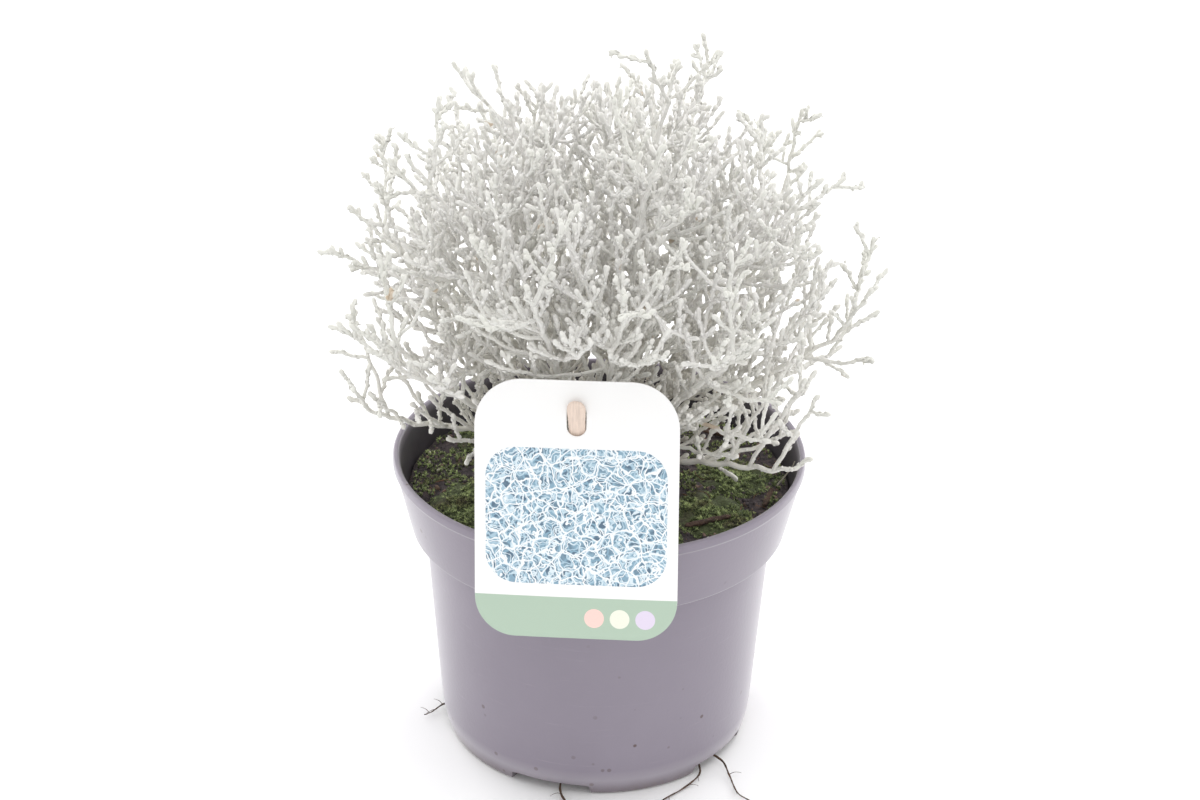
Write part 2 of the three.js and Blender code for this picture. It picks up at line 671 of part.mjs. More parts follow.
function growArm(stem, k) {
  const { main } = stem;
  const i = main.stem;
  const place = (k + between(0.1, 0.9, i, k, 5)) / ARM_COUNT;
  const share = THREE.MathUtils.lerp(FIRST_ARM_SHARE, LAST_ARM_SHARE, place);
  const longest = ARM_LENGTH * between(0.8, 1.2, i, k, 6);
  const angle = rad(between(...ARM_DEGREES, i, k, 7));
  const sizes = { longest, steps: 2, radius: ARM_RADIUS, reach: ARM_REACH };
  const arm = growShoot(main, share, [i, k], angle, sizes);
  if (arm) stem.arms.push({ ...arm, k });
}

function growTwigs(stem, k) {
  const i = stem.main.stem;
  const arm = stem.arms.find((one) => one.k === k);
  const spots = arm ? Math.round(pathLength(arm.path) / TWIG_SPACING) : 0;
  for (let n = 0; n < spots; n += 1) {
    const share = (LAST_TWIG_SHARE * (n + between(0.5, 0.95, i, k, n, 11))) / spots;
    const longest = TWIG_LENGTH * between(0.75, 1.25, i, k, n, 12);
    const angle = rad(between(...TWIG_DEGREES, i, k, n, 13));
    const sizes = { longest, steps: 1, radius: TWIG_RADIUS, reach: TWIG_REACH };
    const twig = growShoot(arm, share, [i, k, n], angle, sizes);
    if (twig) stem.twigs.push(twig);
  }
}

// A shoot is a club: thin where it is sunk in its parent, and thickest just short of its tip.
function shootSolid(shoot, sunkShare) {
  const path = shoot.path.map((p) => p.clone());
  const tip = path.pop();
  path.push(path[path.length - 1].clone().lerp(tip, KNOB_SHARE), tip);
  const radii = path.map((_, i) => shoot.radius * (i === 0 ? sunkShare : 1));
  return taperedTube(path, radii, TWIG_SIDES);
}

function stemSolid(stem) {
  const path = [stem.main.foot, ...stem.main.path].map((p) => p.clone());
  const tip = path.pop();
  path.push(path[path.length - 1].clone().lerp(tip, KNOB_SHARE), tip);
  const last = path.length - 1;
  const radii = path.map((_, i) => THREE.MathUtils.lerp(STEM_ROOT_RADIUS, STEM_TIP_RADIUS, i / last));
  let made = taperedTube(path, radii, STEM_SIDES);
  for (const arm of stem.arms) made = made.add(shootSolid(arm, ARM_SUNK_SHARE));
  for (const twig of stem.twigs) made = made.add(shootSolid(twig, TWIG_SUNK_SHARE));
  return made;
}

function stemHole(stem) {
  const { foot } = stem.main;
  const wide = STEM_ROOT_RADIUS + GAP / Math.cos(Math.PI / STEM_SIDES);
  const path = [0, HOLE_DEPTH + 2, HOLE_DEPTH + 3].map((z) => foot.clone().setZ(foot.z - GAP + z));
  return taperedTube(path, [wide, wide, wide], STEM_SIDES);
}

// Assembly

const bush = new THREE.Group();
const stems = growBush();
stems.forEach((stem, i) => {
  bush.add(named(`bush_stem_${String(i + 1).padStart(2, "0")}`, stemSolid(stem), silverWool));
});

const tag = labelPlace();
tag.add(makeLabel(), makeStick());
const stickHole = stickGeometry(GAP).applyMatrix4(tag.matrixWorld);

const pottedBush = new THREE.Group();
pottedBush.name = "potted_cushion_bush";
pottedBush.add(makePot(), makeCompost([...stems.map(stemHole), solid(stickHole)]));
pottedBush.add(...MOSS_PATCHES.map(makeMoss), ...BARK_CHIPS.map(makeBark), ...ROOT_STRANDS.map(makeRoot));
pottedBush.add(bush, tag);

export default pottedBush;
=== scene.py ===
"""Fine looks for a potted cushion bush, made round its packed solids.

The bush grows here by the rules and repeatable draws of its solids, so each fine stem lies where its
solid does. Short side twigs, scale leaves, moss shoots, crumbs of compost and the label's print are added.
Lengths are in millimetres until a mesh is made. +Z is up and -Y is the front.
"""

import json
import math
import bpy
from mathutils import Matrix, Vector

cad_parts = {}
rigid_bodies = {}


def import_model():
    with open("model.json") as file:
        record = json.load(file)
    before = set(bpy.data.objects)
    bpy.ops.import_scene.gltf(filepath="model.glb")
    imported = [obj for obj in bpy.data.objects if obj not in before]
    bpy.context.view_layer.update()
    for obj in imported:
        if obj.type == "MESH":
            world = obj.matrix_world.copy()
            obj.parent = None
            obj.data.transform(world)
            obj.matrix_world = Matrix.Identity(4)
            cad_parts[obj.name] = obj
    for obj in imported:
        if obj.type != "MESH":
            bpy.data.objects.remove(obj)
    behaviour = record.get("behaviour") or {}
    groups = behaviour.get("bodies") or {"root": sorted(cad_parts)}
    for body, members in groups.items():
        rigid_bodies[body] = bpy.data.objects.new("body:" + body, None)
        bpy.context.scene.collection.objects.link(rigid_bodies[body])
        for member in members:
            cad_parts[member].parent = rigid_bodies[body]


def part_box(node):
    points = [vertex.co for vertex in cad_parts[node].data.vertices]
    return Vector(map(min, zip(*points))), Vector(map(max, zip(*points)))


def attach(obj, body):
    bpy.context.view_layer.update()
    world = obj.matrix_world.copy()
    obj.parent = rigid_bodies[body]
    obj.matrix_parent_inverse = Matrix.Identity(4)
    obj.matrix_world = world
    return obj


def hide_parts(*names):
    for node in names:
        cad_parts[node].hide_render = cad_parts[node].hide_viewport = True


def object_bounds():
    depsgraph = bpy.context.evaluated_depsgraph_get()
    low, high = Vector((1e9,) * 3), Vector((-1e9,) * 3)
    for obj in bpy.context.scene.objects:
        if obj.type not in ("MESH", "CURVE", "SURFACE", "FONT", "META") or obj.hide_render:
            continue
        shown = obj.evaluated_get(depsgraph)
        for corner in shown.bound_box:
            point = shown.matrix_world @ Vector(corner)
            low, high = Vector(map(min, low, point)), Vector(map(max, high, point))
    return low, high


bl_info = {
    "name": "Potted cushion bush",
    "version": (1, 0, 0),
    "blender": (4, 5, 0),
    "location": "3D View > Sidebar > Cushion bush",
    "description": "Makes a silver cushion bush in a nursery pot with moss and a card label",
    "category": "Object",
}

from dataclasses import dataclass

import bpy
import numpy as np
from bpy.props import FloatProperty, FloatVectorProperty, IntProperty, PointerProperty
from mathutils import Matrix, Vector

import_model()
CAD_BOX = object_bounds()
MM = 0.001
SHARP_DEG = 50.0

# Pot, from its packed solid where that gives the size
POT_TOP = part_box("pot")[1]
POT_HEIGHT = round(POT_TOP.z / MM, 3)
RIM_RADIUS = round(POT_TOP.x / MM, 3)
BAND_BOTTOM_Z = 72.5
BAND_RADIUS = 59.2
BODY_RADIUS = 54.8
CORNER_RADIUS = 50.2
CORNER_Z = 6.5
MOULD_LINE_Z = 5.8
FOOT_RADIUS = 48.5
WALL = 1.3
LIP_WIDTH = 2.0
LIP_HEIGHT = 2.6
LIP_ROUND = 0.7
FLOOR_THICKNESS = 2.4
PAD_RADIUS = 14.0
FOOT_RING_INNER = 40.5
SLOT_COUNT = 5
SLOT_FIRST_DEG = 37.0
SLOT_WIDTH_DEG = 32.0
SLOT_HEIGHT = 3.8
SLOT_INNER_RADIUS = 44.0
POT_TURNS = 240
SLOT_STEPS = 33

# Compost and what lies on it
GAP = 0.3
SOIL_EDGE_Z = 85.0
SOIL_MIDDLE_Z = 88.0
SOIL_FLAT_RADIUS = 27.0
SOIL_ROWS = 92
HOLE_DEPTH = 12.0
MOSS_THICKNESS = 2.6
MOSS_PATCHES = [(206, 43, 11.5), (238, 44, 8.5), (290, 42, 9.5), (326, 41, 10.5), (2, 42, 10),
                (72, 42, 12), (140, 42, 12)]
BARK_CHIPS = [(308, 53.5, 11, 2.6, 20), (348, 54, 12, 2.2, -4), (38, 49, 10, 3, 40)]
BARK_THICKNESS = 1.2
BARK_SLIVER = (318.5, 44.5, 16, 2.2, -21)
BARK_ROWS = 40
BARK_COLUMNS = 20
PERLITE_GRAINS = 46
FIBRES = 90
MOSS_COLUMNS = 48
CUSHION_LEAVES = 8
LOOSE_LEAVES = 6
# Painted shade: the dark tone of the cushion under the shoots stands for the shade between them
CUSHION_SHADE_TONE = 0.16
STRAW = [(55.8, -4.2, 86.8), (58.2, -3.2, 89.6), (60.4, -2.6, 92.6), (61.3, -2.0, 94.4)]
ROOT_STRANDS = [
    (181, 3, 0.4, [(3, -1, 1.8), (3, 2, 0.9), (2, 3, 1.6), (1, 3, 3.4)]),
    (253, 4, 0.6, [(4, 1, 1.4), (5, 4, 0.8), (6, 5, 0.7), (6, 1, 0.7)]),
    (325, -4, 0.5, [(5, 0, 2.2), (6, -4, 1), (7, -5, 0.7), (8, -1, 0.7)]),
    (325, -11, 0.5, [(4, -4, 1.6), (1, -8, 0.8), (0, -9, 0.8), (1, -8, 0.8)]),
    (37, -7, 0.45, [(5, -3, 1.6), (5, 2, 1), (3, 5, 2.5), (2, 2, 5)]),
]

# Label and its stick, whose heights count from the rim
LABEL_WIDTH = 59.5
LABEL_ABOVE_RIM = 52.5
LABEL_BELOW_RIM = 25.2
LABEL_THICKNESS = 0.6
LABEL_TOP_CORNER = 14.0
LABEL_FOOT_CORNER = 12.0
LABEL_AZIMUTH_DEG = -5.6
LABEL_LEAN_DEG = 13.0
LABEL_ROLL_DEG = 1.6
LABEL_OVERHANG = 1.85
EYE_BOTTOM = 36.0
EYE_TOP = 45.8
EYE_WIDTH = 5.7
STICK_WIDTH = 5.6
STICK_THICKNESS = 1.2
STICK_ABOVE_RIM = 45.6
STICK_BELOW_RIM = 49.0
STICK_TOP_Y = -57.2
STICK_LEAN_DEG = 5.5

# Print on the label, in millimetres on the card: boxes of (middle, half size, corner), layers of threads
# of (cells to the millimetre, width, warp, colour), and dots of (place across, colour)
PRINT_FIELD = ((0, 37), (26.5, 20.5), 9)
PRINT_BAND = ((0, 5.6), (80, 7), 0.1)
PRINT_THREADS = [
    (0.33, 0.3, 2, (0.24, 0.4, 0.52)), (0.27, 0.3, 5, (0.4, 0.56, 0.67)),
    (0.29, 0.25, 8, (0.55, 0.7, 0.79)), (0.23, 0.24, 11, (0.72, 0.82, 0.88)),
    (0.19, 0.25, 3, (0.85, 0.9, 0.94)), (0.21, 0.2, 7, (0.9, 0.93, 0.95)),
    (0.16, 0.26, 4, (0.92, 0.94, 0.95)),
]
PRINT_DOTS = [(5.5, (0.95, 0.66, 0.6)), (13, (0.87, 0.88, 0.76)), (20.5, (0.76, 0.68, 0.83))]
DOT_RADIUS = 2.9

# Stage, in metres
FLOOR_SIDE = 6.0
LIGHT_AIM = (0, 0, 0.12)
LAMPS = [
    ("left_light", (-0.64, 0.66, 0.32), 0.7, "side_light"),
    ("right_light", (0.64, 0.68, 0.32), 0.7, "side_light"),
    ("top_light", (0.05, -0.2, 1.15), 0.8, "top_light"),
]
IMAGE_WIDTH = 1200
SENSOR_WIDTH = 36

# Growth of the bush
SEED = 20405
FIRST_AZIMUTH_DEG = 15
STEM_COUNT = 20
CROWN_RADIUS = 20.0
GLOBE_Z = 146.0
GLOBE_RADIUS = 85.0
LOWEST_COSINE = -0.42
STEM_REACH = (0.94, 1.01)
ARM_REACH = 1.02
TWIG_REACH = 1.05
ARCH_RISE = 0.3
ARCH_SPREAD = 0.12
ARCH_UPTURN = 0.35
ARCH_SWING = 1.6
STEM_SIDES = 4
STEM_STEPS = 6
STEM_ROOT_RADIUS = 1.8
STEM_FREE_HEIGHT = 4.0
SHOOT_RADIUS = 1.25
SHOOT_SIDES = 3
ARM_COUNT = 8
ARM_LENGTH = 34.0
ARM_SHARES = (0.22, 0.92)
ARM_DEGREES = (45, 68)
TWIG_LENGTH = 11.0
TWIG_SPACING = 12.8
TWIG_DEGREES = (40, 70)
LAST_TWIG_SHARE = 0.88
BEND = 0.35
GOLDEN_ANGLE = math.pi * (3 - math.sqrt(5))
STEM_CLEARANCE = 0.4
ROOT_REACH = 3.4
MOST_SUNK = 0.6
UPTURN = 0.16
RANK_DRAW = 0.5
RANK_ROOM = 4.0
MOST_ROOM = 14.0
BOWL_RADIUS = 43.0
BOWL_SLOPE = 0.9
RING_SHARE = 0.12
LENGTH_TRIES = (1, 0.75)
LIFT_TRIES = 14
LIFT_STEP = 0.07

# Fine twigs, which only the looks have
FINE_SIDES = 5
FINE_RADIUS = 0.85
FINE_CLEARANCE = -0.15
BOX_MARGIN = 1.5
SPRAY_REACH = 0.87
SPRAY_CROWN = 14.0
SPRAY_BOWL = 18.0
SPRIG_BOWL = 20.0
SPRAY_DEGREES = (44, 74)
SPRAY_TRIES = 3
SPRIGS_MOST = 18
SPRIG_TRIES = 4
SPRIG_FOOT = 2.2
SPRIG_STRETCH = 0.28
SPRIG_DEGREES = (42, 74)
BUD_DEGREES = (30, 58)
BUD_SHELL = 0.86
YOUNG_LENGTH = 5.0
SPRAY_SPACING = 8.0
SPRAY_LENGTH = 34.0
INNER_SPRAY_LENGTH = 24.0
SPRIG_LENGTHS = (3.4, 14.0)
LONG_SPRIG = 5.5
SPRIG_BUDS = (4.0, (2.6, 4.4))
OUTER_BUDS = (2.3, (2.4, 4.4))

# Each kind of bough: rows of its tube, its radii at foot and tip where a twig's radius is 1, how far it
# waves, and how much its end swells
RANK_LOOKS = [
    (44, (2.3, 1.1), 0.45, 0.5),  # main stems
    (16, (1.25, 1.0), 0.34, 0.6),  # arms
    (7, (1.05, 0.95), 0.26, 0.65),  # twigs
    (10, (1.1, 0.9), 0.26, 0.6),  # sprays
    (8, (1.0, 0.9), 0.26, 0.6),  # inner sprays
    (4, (0.9, 0.95), 0.15, 0.5),  # sprigs
    (2, (0.9, 1.1), 0.05, 0.5),  # buds
]

# The rounded end of a tube: distances before its tip, and the radii there
TIP_STEPS = np.array([1.3, 0.75, 0.3, 0.0])
TIP_RADII = [1, 0.9, 0.62, 0.12]
WAVE_LENGTHS = (7.0, 15.0)

# A scale leaf of length and width 1: its foot, both sides, its ridge and its tip
LEAF_POINTS = np.array([[0, 0, 0], [0.42, 0.5, -0.08], [0.5, 0, 0.32], [0.42, -0.5, -0.08], [1, 0, 0]])
LEAF_FACES = np.array([(0, 1, 2), (0, 2, 3), (0, 3, 1), (4, 2, 1), (4, 3, 2), (4, 1, 3)])
# Tones of the leaf's points: painted shade, darkest at the foot against the twig and lightest at the tip
LEAF_PAINTED_SHADE = [0.15, 0.55, 0.75, 0.55, 1.0]

UP = np.array([0.0, 0.0, 1.0])
WORD = 0xFFFFFFFF


def rad(degrees):
    """Degrees as radians."""
    return math.radians(degrees)


def unit(vectors):
    """Vectors of length 1 along the last axis."""
    return vectors / np.maximum(np.linalg.norm(vectors, axis=-1, keepdims=True), 1e-9)


def blend(low, high, share):
    """The value that lies a share of the way from low to high."""
    return low + (high - low) * share


def smooth(low, high, value):
    """0 below low, 1 above high, and a smooth step between them."""
    t = np.clip((value - low) / (high - low), 0, 1)
    return t * t * (3 - 2 * t)


def draw(*key):
    """A repeatable number from 0 to 1 for a list of whole numbers, the same as in the solids."""
    state = SEED
    for part in key:
        state = ((state ^ ((part + 0x9E3779B9) & WORD)) * 0x85EBCA6B) & WORD
        state = ((state ^ (state >> 13)) * 0xC2B2AE35) & WORD
        state ^= state >> 16
    return state / 4294967296


def between(low, high, *key):
    """A repeatable number between two others."""
    return low + (high - low) * draw(*key)


def draws(count, *key):
    """Repeatable numbers from 0 to 1 as a whole array."""
    return np.random.default_rng([SEED, *key]).random(count)


def noise(points, size, key):
    """Smooth noise from -1 to 1: a hashed value at each corner of a lattice of cubes of that size,
    blended across the cube by a smooth step along each axis."""
    grid = points / size
    cell = np.floor(grid).astype(np.int64)
    step = grid - cell
    step = step * step * (3 - 2 * step)
    total = np.zeros(points.shape[:-1])
    for corner in np.ndindex(2, 2, 2):
        at = cell + np.array(corner)
        mixed = (at[..., 0] * 73856093) ^ (at[..., 1] * 19349663) ^ (at[..., 2] * 83492791) ^ (key * 2654435)
        mixed = (mixed ^ (mixed >> 13)) * 1274126177 & WORD
        mixed = (mixed ^ (mixed >> 16)) & 0xFFFF
        weight = np.prod(np.where(corner, step, 1 - step), axis=-1)
        total += weight * (mixed / 32767.5 - 1)
    return total


def turn_x(angle):
    """The turn about the x axis, as a matrix."""
    c, s = math.cos(angle), math.sin(angle)
    return np.array([[1, 0, 0], [0, c, -s], [0, s, c]])


def turn_y(angle):
    """The turn about the y axis, as a matrix."""
    c, s = math.cos(angle), math.sin(angle)
    return np.array([[c, 0, s], [0, 1, 0], [-s, 0, c]])


def turn_z(angle):
    """The turn about the upright axis, as a matrix."""
    c, s = math.cos(angle), math.sin(angle)
    return np.array([[c, -s, 0], [s, c, 0], [0, 0, 1]])


def level_ways(turn):
    """Level directions of length 1 for angles from the x axis."""
    return np.stack([np.cos(turn), np.sin(turn), 0 * turn], -1)


def full_turn(count):
    """Angles that share out a full turn evenly."""
    return np.arange(count) * 2 * math.pi / count


def superround(turn, power):
    """How far a rounded square reaches past a circle at each angle, by a power that squares it off."""
    return (np.abs(np.cos(turn)) ** power + np.abs(np.sin(turn)) ** power) ** (-1 / power)


PLACE_TURN = turn_z(rad(LABEL_AZIMUTH_DEG)) @ turn_y(rad(-LABEL_ROLL_DEG))
PLACE_MIDDLE = np.array([0, 0, POT_HEIGHT])


def from_label_place(points):
    """From the label's own place, at rim height and a little askew, to the object."""
    return points @ PLACE_TURN.T + PLACE_MIDDLE


# Meshes


def put_piece(name, points, faces, node_names=(), slot=None, material=None, **attributes):
    """A mesh from arrays of points in millimetres and of faces with three or four corners each.
    It rides on the object's one body, and stands for the solids that are named."""
    faces = [f for f in faces if len(f)]
    corners = np.concatenate([f.ravel() for f in faces]).astype(np.int32)
    counts = np.concatenate([np.full(len(f), f.shape[1]) for f in faces])
    mesh = bpy.data.meshes.new(name)
    mesh.vertices.add(len(points))
    mesh.vertices.foreach_set("co", (np.asarray(points) * MM).astype(np.float32).ravel())
    mesh.loops.add(len(corners))
    mesh.loops.foreach_set("vertex_index", corners)
    mesh.polygons.add(len(counts))
    starts = np.concatenate([[0], np.cumsum(counts)[:-1]]).astype(np.int32)
    mesh.polygons.foreach_set("loop_start", starts)
    mesh.update(calc_edges=True)
    mesh.polygons.foreach_set("use_smooth", np.ones(len(counts), bool))
    for key, values in attributes.items():
        mesh.attributes.new(key, "FLOAT", "POINT").data.foreach_set("value", values.astype(np.float32))
    if material:
        mesh.materials.append(material)
    piece = bpy.data.objects.new(name, mesh)
    bpy.context.scene.collection.objects.link(piece)
    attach(piece, "root")
    if node_names:
        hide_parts(*node_names)
    return piece


def grid_faces(rows, columns):
    """Four-sided faces between the rows of a grid of points that closes across its columns."""
    row = np.arange(rows - 1)[:, None] * columns
    here = np.arange(columns)[None, :]
    after = (here + 1) % columns
    low = np.stack([row + here, row + after], -1)
    high = np.stack([row + columns + after, row + columns + here], -1)
    return np.concatenate([low, high], -1).reshape(-1, 4)


def pole_faces(columns, row, pole, first):
    """Three-sided faces from a pole to the ring of points that starts a grid, or that ends it."""
    here = row * columns + np.arange(columns)
    after = row * columns + (np.arange(columns) + 1) % columns
    order = (after, here) if first else (here, after)
    return np.stack([np.full(columns, pole), *order], -1)


def closed_grid(rings, start, end):
    """A closed shape from rings of points and a pole past each end. Gives points and faces."""
    rows, columns = rings.shape[:2]
    count = rows * columns
    fans = [pole_faces(columns, 0, count, True), pole_faces(columns, rows - 1, count + 1, False)]
    points = np.concatenate([rings.reshape(-1, 3), [start, end]])
    return points, [grid_faces(rows, columns), np.concatenate(fans)]


def lathe(profile, columns):
    """A profile of (radius, height) points turned about the upright axis. It starts and ends on the
    axis, with one point for each pole. Gives points and faces."""
    ring = np.array(profile[1:-1])
    rings = ring[:, :1, None] * level_ways(full_turn(columns)) + ring[:, 1:, None] * UP
    return closed_grid(rings, UP * profile[0][1], UP * profile[-1][1])


def rounded(corners, steps=5):
    """A line through corners of (x, y, reach), each corner replaced by a curve that starts and ends
    its reach away from the corner, or half way to the next one."""
    made = [corners[0][:2]]
    for before, corner, after in zip(corners, corners[1:], corners[2:]):
        middle = np.array(corner[:2])
        ends = []
        for other in (before, after):
            away = np.array(other[:2]) - middle
            length = np.linalg.norm(away)
            ends.append(middle + away / length * min(corner[2], 0.45 * length))
        for t in np.linspace(0, 1, steps):
            made.append((1 - t) ** 2 * ends[0] + 2 * t * (1 - t) * middle + t * t * ends[1])
    made.append(corners[-1][:2])
    return made


def path_frames(path):
    """Directions along, beside and over each point of paths of shape (..., points, 3). The side
    direction keeps as close as it can to one that is square to the whole path."""
    along = unit(np.gradient(path, axis=-2))
    chord = unit(path[..., -1:, :] - path[..., :1, :])
    helper = np.eye(3)[np.argmin(np.abs(chord), axis=-1)]
    side = np.cross(np.broadcast_to(unit(np.cross(chord, helper)), along.shape), along)
    side = unit(side)
    return along, side, np.cross(along, side)


def tubes(path, radii, sides):
    """A closed tube along each of many paths, whose rings of the given radii are square to the path.
    path is (tubes, rows, 3) and radii (tubes, rows). Gives points and faces."""
    count, rows, _ = path.shape
    _, side, over = path_frames(path)
    turn = full_turn(sides)
    ring = side[:, :, None] * np.cos(turn)[:, None] + over[:, :, None] * np.sin(turn)[:, None]
    rings = (path[:, :, None] + radii[:, :, None, None] * ring).reshape(count, rows * sides, 3)
    points = np.concatenate([rings, path[:, :1], path[:, -1:]], 1)
    stride = rows * sides + 2
    shift = (np.arange(count) * stride)[:, None, None]
    fans = np.concatenate([pole_faces(sides, 0, stride - 2, True),
                           pole_faces(sides, rows - 1, stride - 1, False)])
    walls = (grid_faces(rows, sides) + shift).reshape(-1, 4)
    return points.reshape(-1, 3), [walls, (fans + shift).reshape(-1, 3)]


def join(parts):
    """One list of points and of faces from several, each a pair of points and faces."""
    points, faces, start = [], [], 0
    for some_points, some_faces in parts:
        points.append(some_points)
        faces.extend(f + start for f in some_faces)
        start += len(some_points)
    return np.concatenate(points), faces


def scattered(base_points, base_faces, places, turns, sizes):
    """Copies of one small closed shape: each point is scaled, turned and moved to its place."""
    points = np.einsum("nij,pj->npi", turns, base_points) * sizes[:, None, None] + places[:, None]
    shift = (np.arange(len(places)) * len(base_points))[:, None, None]
    return points.reshape(-1, 3), [(base_faces + shift).reshape(-1, base_faces.shape[1])]


def spline(knots, at):
    """Smooth curves through rows of knots, of shape (curves, knots, 3), at whole numbers for the
    knots and fractions between them: cubic pieces whose slope at a knot comes from its neighbours."""
    last = knots.shape[1] - 2
    full = np.concatenate([2 * knots[:, :1] - knots[:, 1:2], knots, 2 * knots[:, -1:] - knots[:, -2:-1]], 1)
    first = np.clip(np.floor(at).astype(int), 0, last)
    t = (at - first)[..., None]
    rows = np.arange(len(knots))[:, None]
    a, b, c, d = (full[rows, first + k] for k in range(4))
    return 0.5 * (2 * b + (c - a) * t + (2 * a - 5 * b + 4 * c - d) * t ** 2
                  + (3 * b - a - 3 * c + d) * t ** 3)


# Growth, by the same rules and draws as the solids


@dataclass
class Bough:
    """A stem or shoot: its path, its place in the growth, and where it leaves its parent."""

    path: np.ndarray
    radius: float
    stem: int
    bough: int
    sides: int
    parent: object = None
    at: float = 0.0


class Grown:
    """All straight pieces that have grown so far, kept as arrays."""

    def __init__(self, room=40000):
        self.count = 0
        self.start = np.zeros((room, 3))
        self.end = np.zeros((room, 3))
        self.radius = np.zeros(room)
        self.stem = np.zeros(room, int)
        self.bough = np.zeros(room, int)

    def keep(self, path, radius, stem, bough):
        """Adds each straight piece of a path."""
        for a, b in zip(path, path[1:]):
            k = self.count
            self.start[k], self.end[k] = a, b
            self.radius[k], self.stem[k], self.bough[k] = radius, stem, bough
            self.count += 1

    def room_round(self, points, apart_from):
        """The distance from each point to the nearest piece of another bough."""
        kept = slice(0, self.count)
        middle = points.reshape(-1, 3).mean(0)
        away = np.abs((self.start[kept] + self.end[kept]) / 2 - middle).max(1)
        near = np.flatnonzero((away < 70) & (self.bough[kept] != apart_from))
        start = self.start[near]
        along = self.end[near] - start
        away = points[..., None, :] - start
        t = np.clip((away * along).sum(-1) / (along * along).sum(-1), 0, 1)
        return np.linalg.norm(away - t[..., None] * along, axis=-1).min(-1)

    def is_clear(self, path, radius, stem, parent, reach, clearance=STEM_CLEARANCE):
        """True where a path is clear of every other stem, and of the other boughs of its own stem."""
        kept = slice(0, self.count)
        for i in range(1, len(path)):
            a, b = path[i - 1], path[i]
            if out_of_bounds(b, radius, reach):
                return False
            step = np.linalg.norm(b - a)
            sunk = min(ROOT_REACH / step, MOST_SUNK) if i == 1 else 0
            own = self.stem[kept] == stem
            needed = radius + self.radius[kept] + np.where(own, 0, clearance)
            span = np.linalg.norm(self.end[kept] - self.start[kept], axis=1)
            near = np.linalg.norm(self.start[kept] - b, axis=1) <= needed + step + span
            if i == 1:
                near &= ~(own & (self.bough[kept] == parent))
            near = np.flatnonzero(near)
            if not len(near):
                continue
            starts = np.where(own[near, None], a + (b - a) * sunk, a)
            if (gap_between(starts, b, self.start[near], self.end[near]) < needed[near]).any():
                return False
        return True


def gap_between(a, b, c, d):
    """Shortest distances between straight pieces, from a to b and from c to d, row by row."""
    u, v, w = b - a, d - c, a - c
    uu, uv, vv = (u * u).sum(1), (u * v).sum(1), (v * v).sum(1)
    uw, vw = (u * w).sum(1), (v * w).sum(1)
    area = uu * vv - uv * uv
    s = np.where(area > 1e-9, np.clip((uv * vw - vv * uw) / np.maximum(area, 1e-9), 0, 1), 0)
    t = (uv * s + vw) / vv
    held = np.clip(t, 0, 1)
    s = np.where(t != held, np.clip((uv * held - uw) / uu, 0, 1), s)
    return np.linalg.norm(w + u * s[:, None] - v * held[:, None], axis=1)


def out_of_bounds(point, radius, reach):
    """True where a bough of this radius would leave the globe or touch pot, compost, moss or label."""
    flat = math.hypot(point[0], point[1])
    if math.hypot(flat, point[2] - GLOBE_Z) > GLOBE_RADIUS * reach:
        return True
    if point[2] < SOIL_MIDDLE_Z + 2 * MOSS_THICKNESS + radius:
        return True
    if flat > BODY_RADIUS and point[2] < POT_HEIGHT + 2 * radius:
        return True
    return in_front_of_label(point, radius)


def in_front_of_label(point, radius):
    """True where a point lies on the card's side of a plane that leans with the card, and that falls
    back above the card's top."""
    local = PLACE_TURN.T @ (point - PLACE_MIDDLE)
    if abs(local[0]) > LABEL_WIDTH / 2 + 2 * radius:
        return False
    lean = math.tan(rad(LABEL_LEAN_DEG))
    top = LABEL_ABOVE_RIM * math.cos(rad(LABEL_LEAN_DEG)) + 2 * radius
    card_y = -RIM_RADIUS + min(local[2], top) * lean
    overhang = max(local[2] - top, 0) * LABEL_OVERHANG
    return local[1] < card_y + 2 * radius - overhang


def growth_pull(point):
    """Side shoots bend towards this direction: half away from the crown, half up."""
    return unit(unit(point - PLACE_MIDDLE) + UP)


def ring_frame(path, i):
    """Side and over directions at point i of a path, turned as little as possible from ring to ring."""
    side = np.array([1.0, 0, 0])
    for k in range(i + 1):
        along = unit(path[min(k + 1, len(path) - 1)] - path[max(k - 1, 0)])
        side = side - along * side.dot(along)
        if np.linalg.norm(side) < 1e-3:
            side = np.array([0, 1, 0]) - along * along[1]
        side = unit(side)
    return side, np.cross(along, side)


def spot_on(bough, share):
    """A point a share of the way along a bough, kept off the rings where its flat sides meet."""
    path = bough.path
    at = share * (len(path) - 1)
    i = min(int(at), len(path) - 2)
    off = min(max(at - i, RING_SHARE), 1 - RING_SHARE)
    along = path[i + 1] - path[i]
    return path[i] + along * off, unit(along), *ring_frame(path, i), i + off


def shoot_headings(spot, sides, angle, key):
    """The directions in which a shoot may leave its parent: one out of each flat side, those that
    lead up and away first, in an order that a draw disturbs. Each comes with its rank."""
    point, along, side, over = spot[:4]
    pull = growth_pull(point)
    ranked = []
    for k in range(sides):
        turn = math.pi * (2 * k + 1) / sides
        across = side * math.cos(turn) + over * math.sin(turn)
        heading = unit(along * math.cos(angle) + across * math.sin(angle) + pull * UPTURN)
        ranked.append((heading.dot(pull) + between(-RANK_DRAW, RANK_DRAW, *key, 21, k), heading))
    return sorted(ranked, key=lambda one: -one[0])


def over_bowl(point, radius=BOWL_RADIUS):
    """True above the bowl-shaped underside of the bush, which side shoots don't grow below."""
    return math.hypot(point[0], point[1]) < radius + BOWL_SLOPE * (point[2] - SOIL_MIDDLE_Z)


def shoot_path(start, heading, length, steps):
    """A path of a length in equal steps, each bent a little further up and away."""
    path = [start]
    for _ in range(steps):
        path.append(path[-1] + heading * (length / steps))
        heading = unit(heading + growth_pull(path[-1]) * BEND)
    return np.array(path)


def way_out(point, heading):
    """How far it is from a point inside the globe to its surface, along a heading."""
    start = point - np.array([0, 0, GLOBE_Z])
    along = start.dot(heading)
    inside = max(GLOBE_RADIUS ** 2 - start.dot(start), 0)
    return math.sqrt(along * along + inside) - along


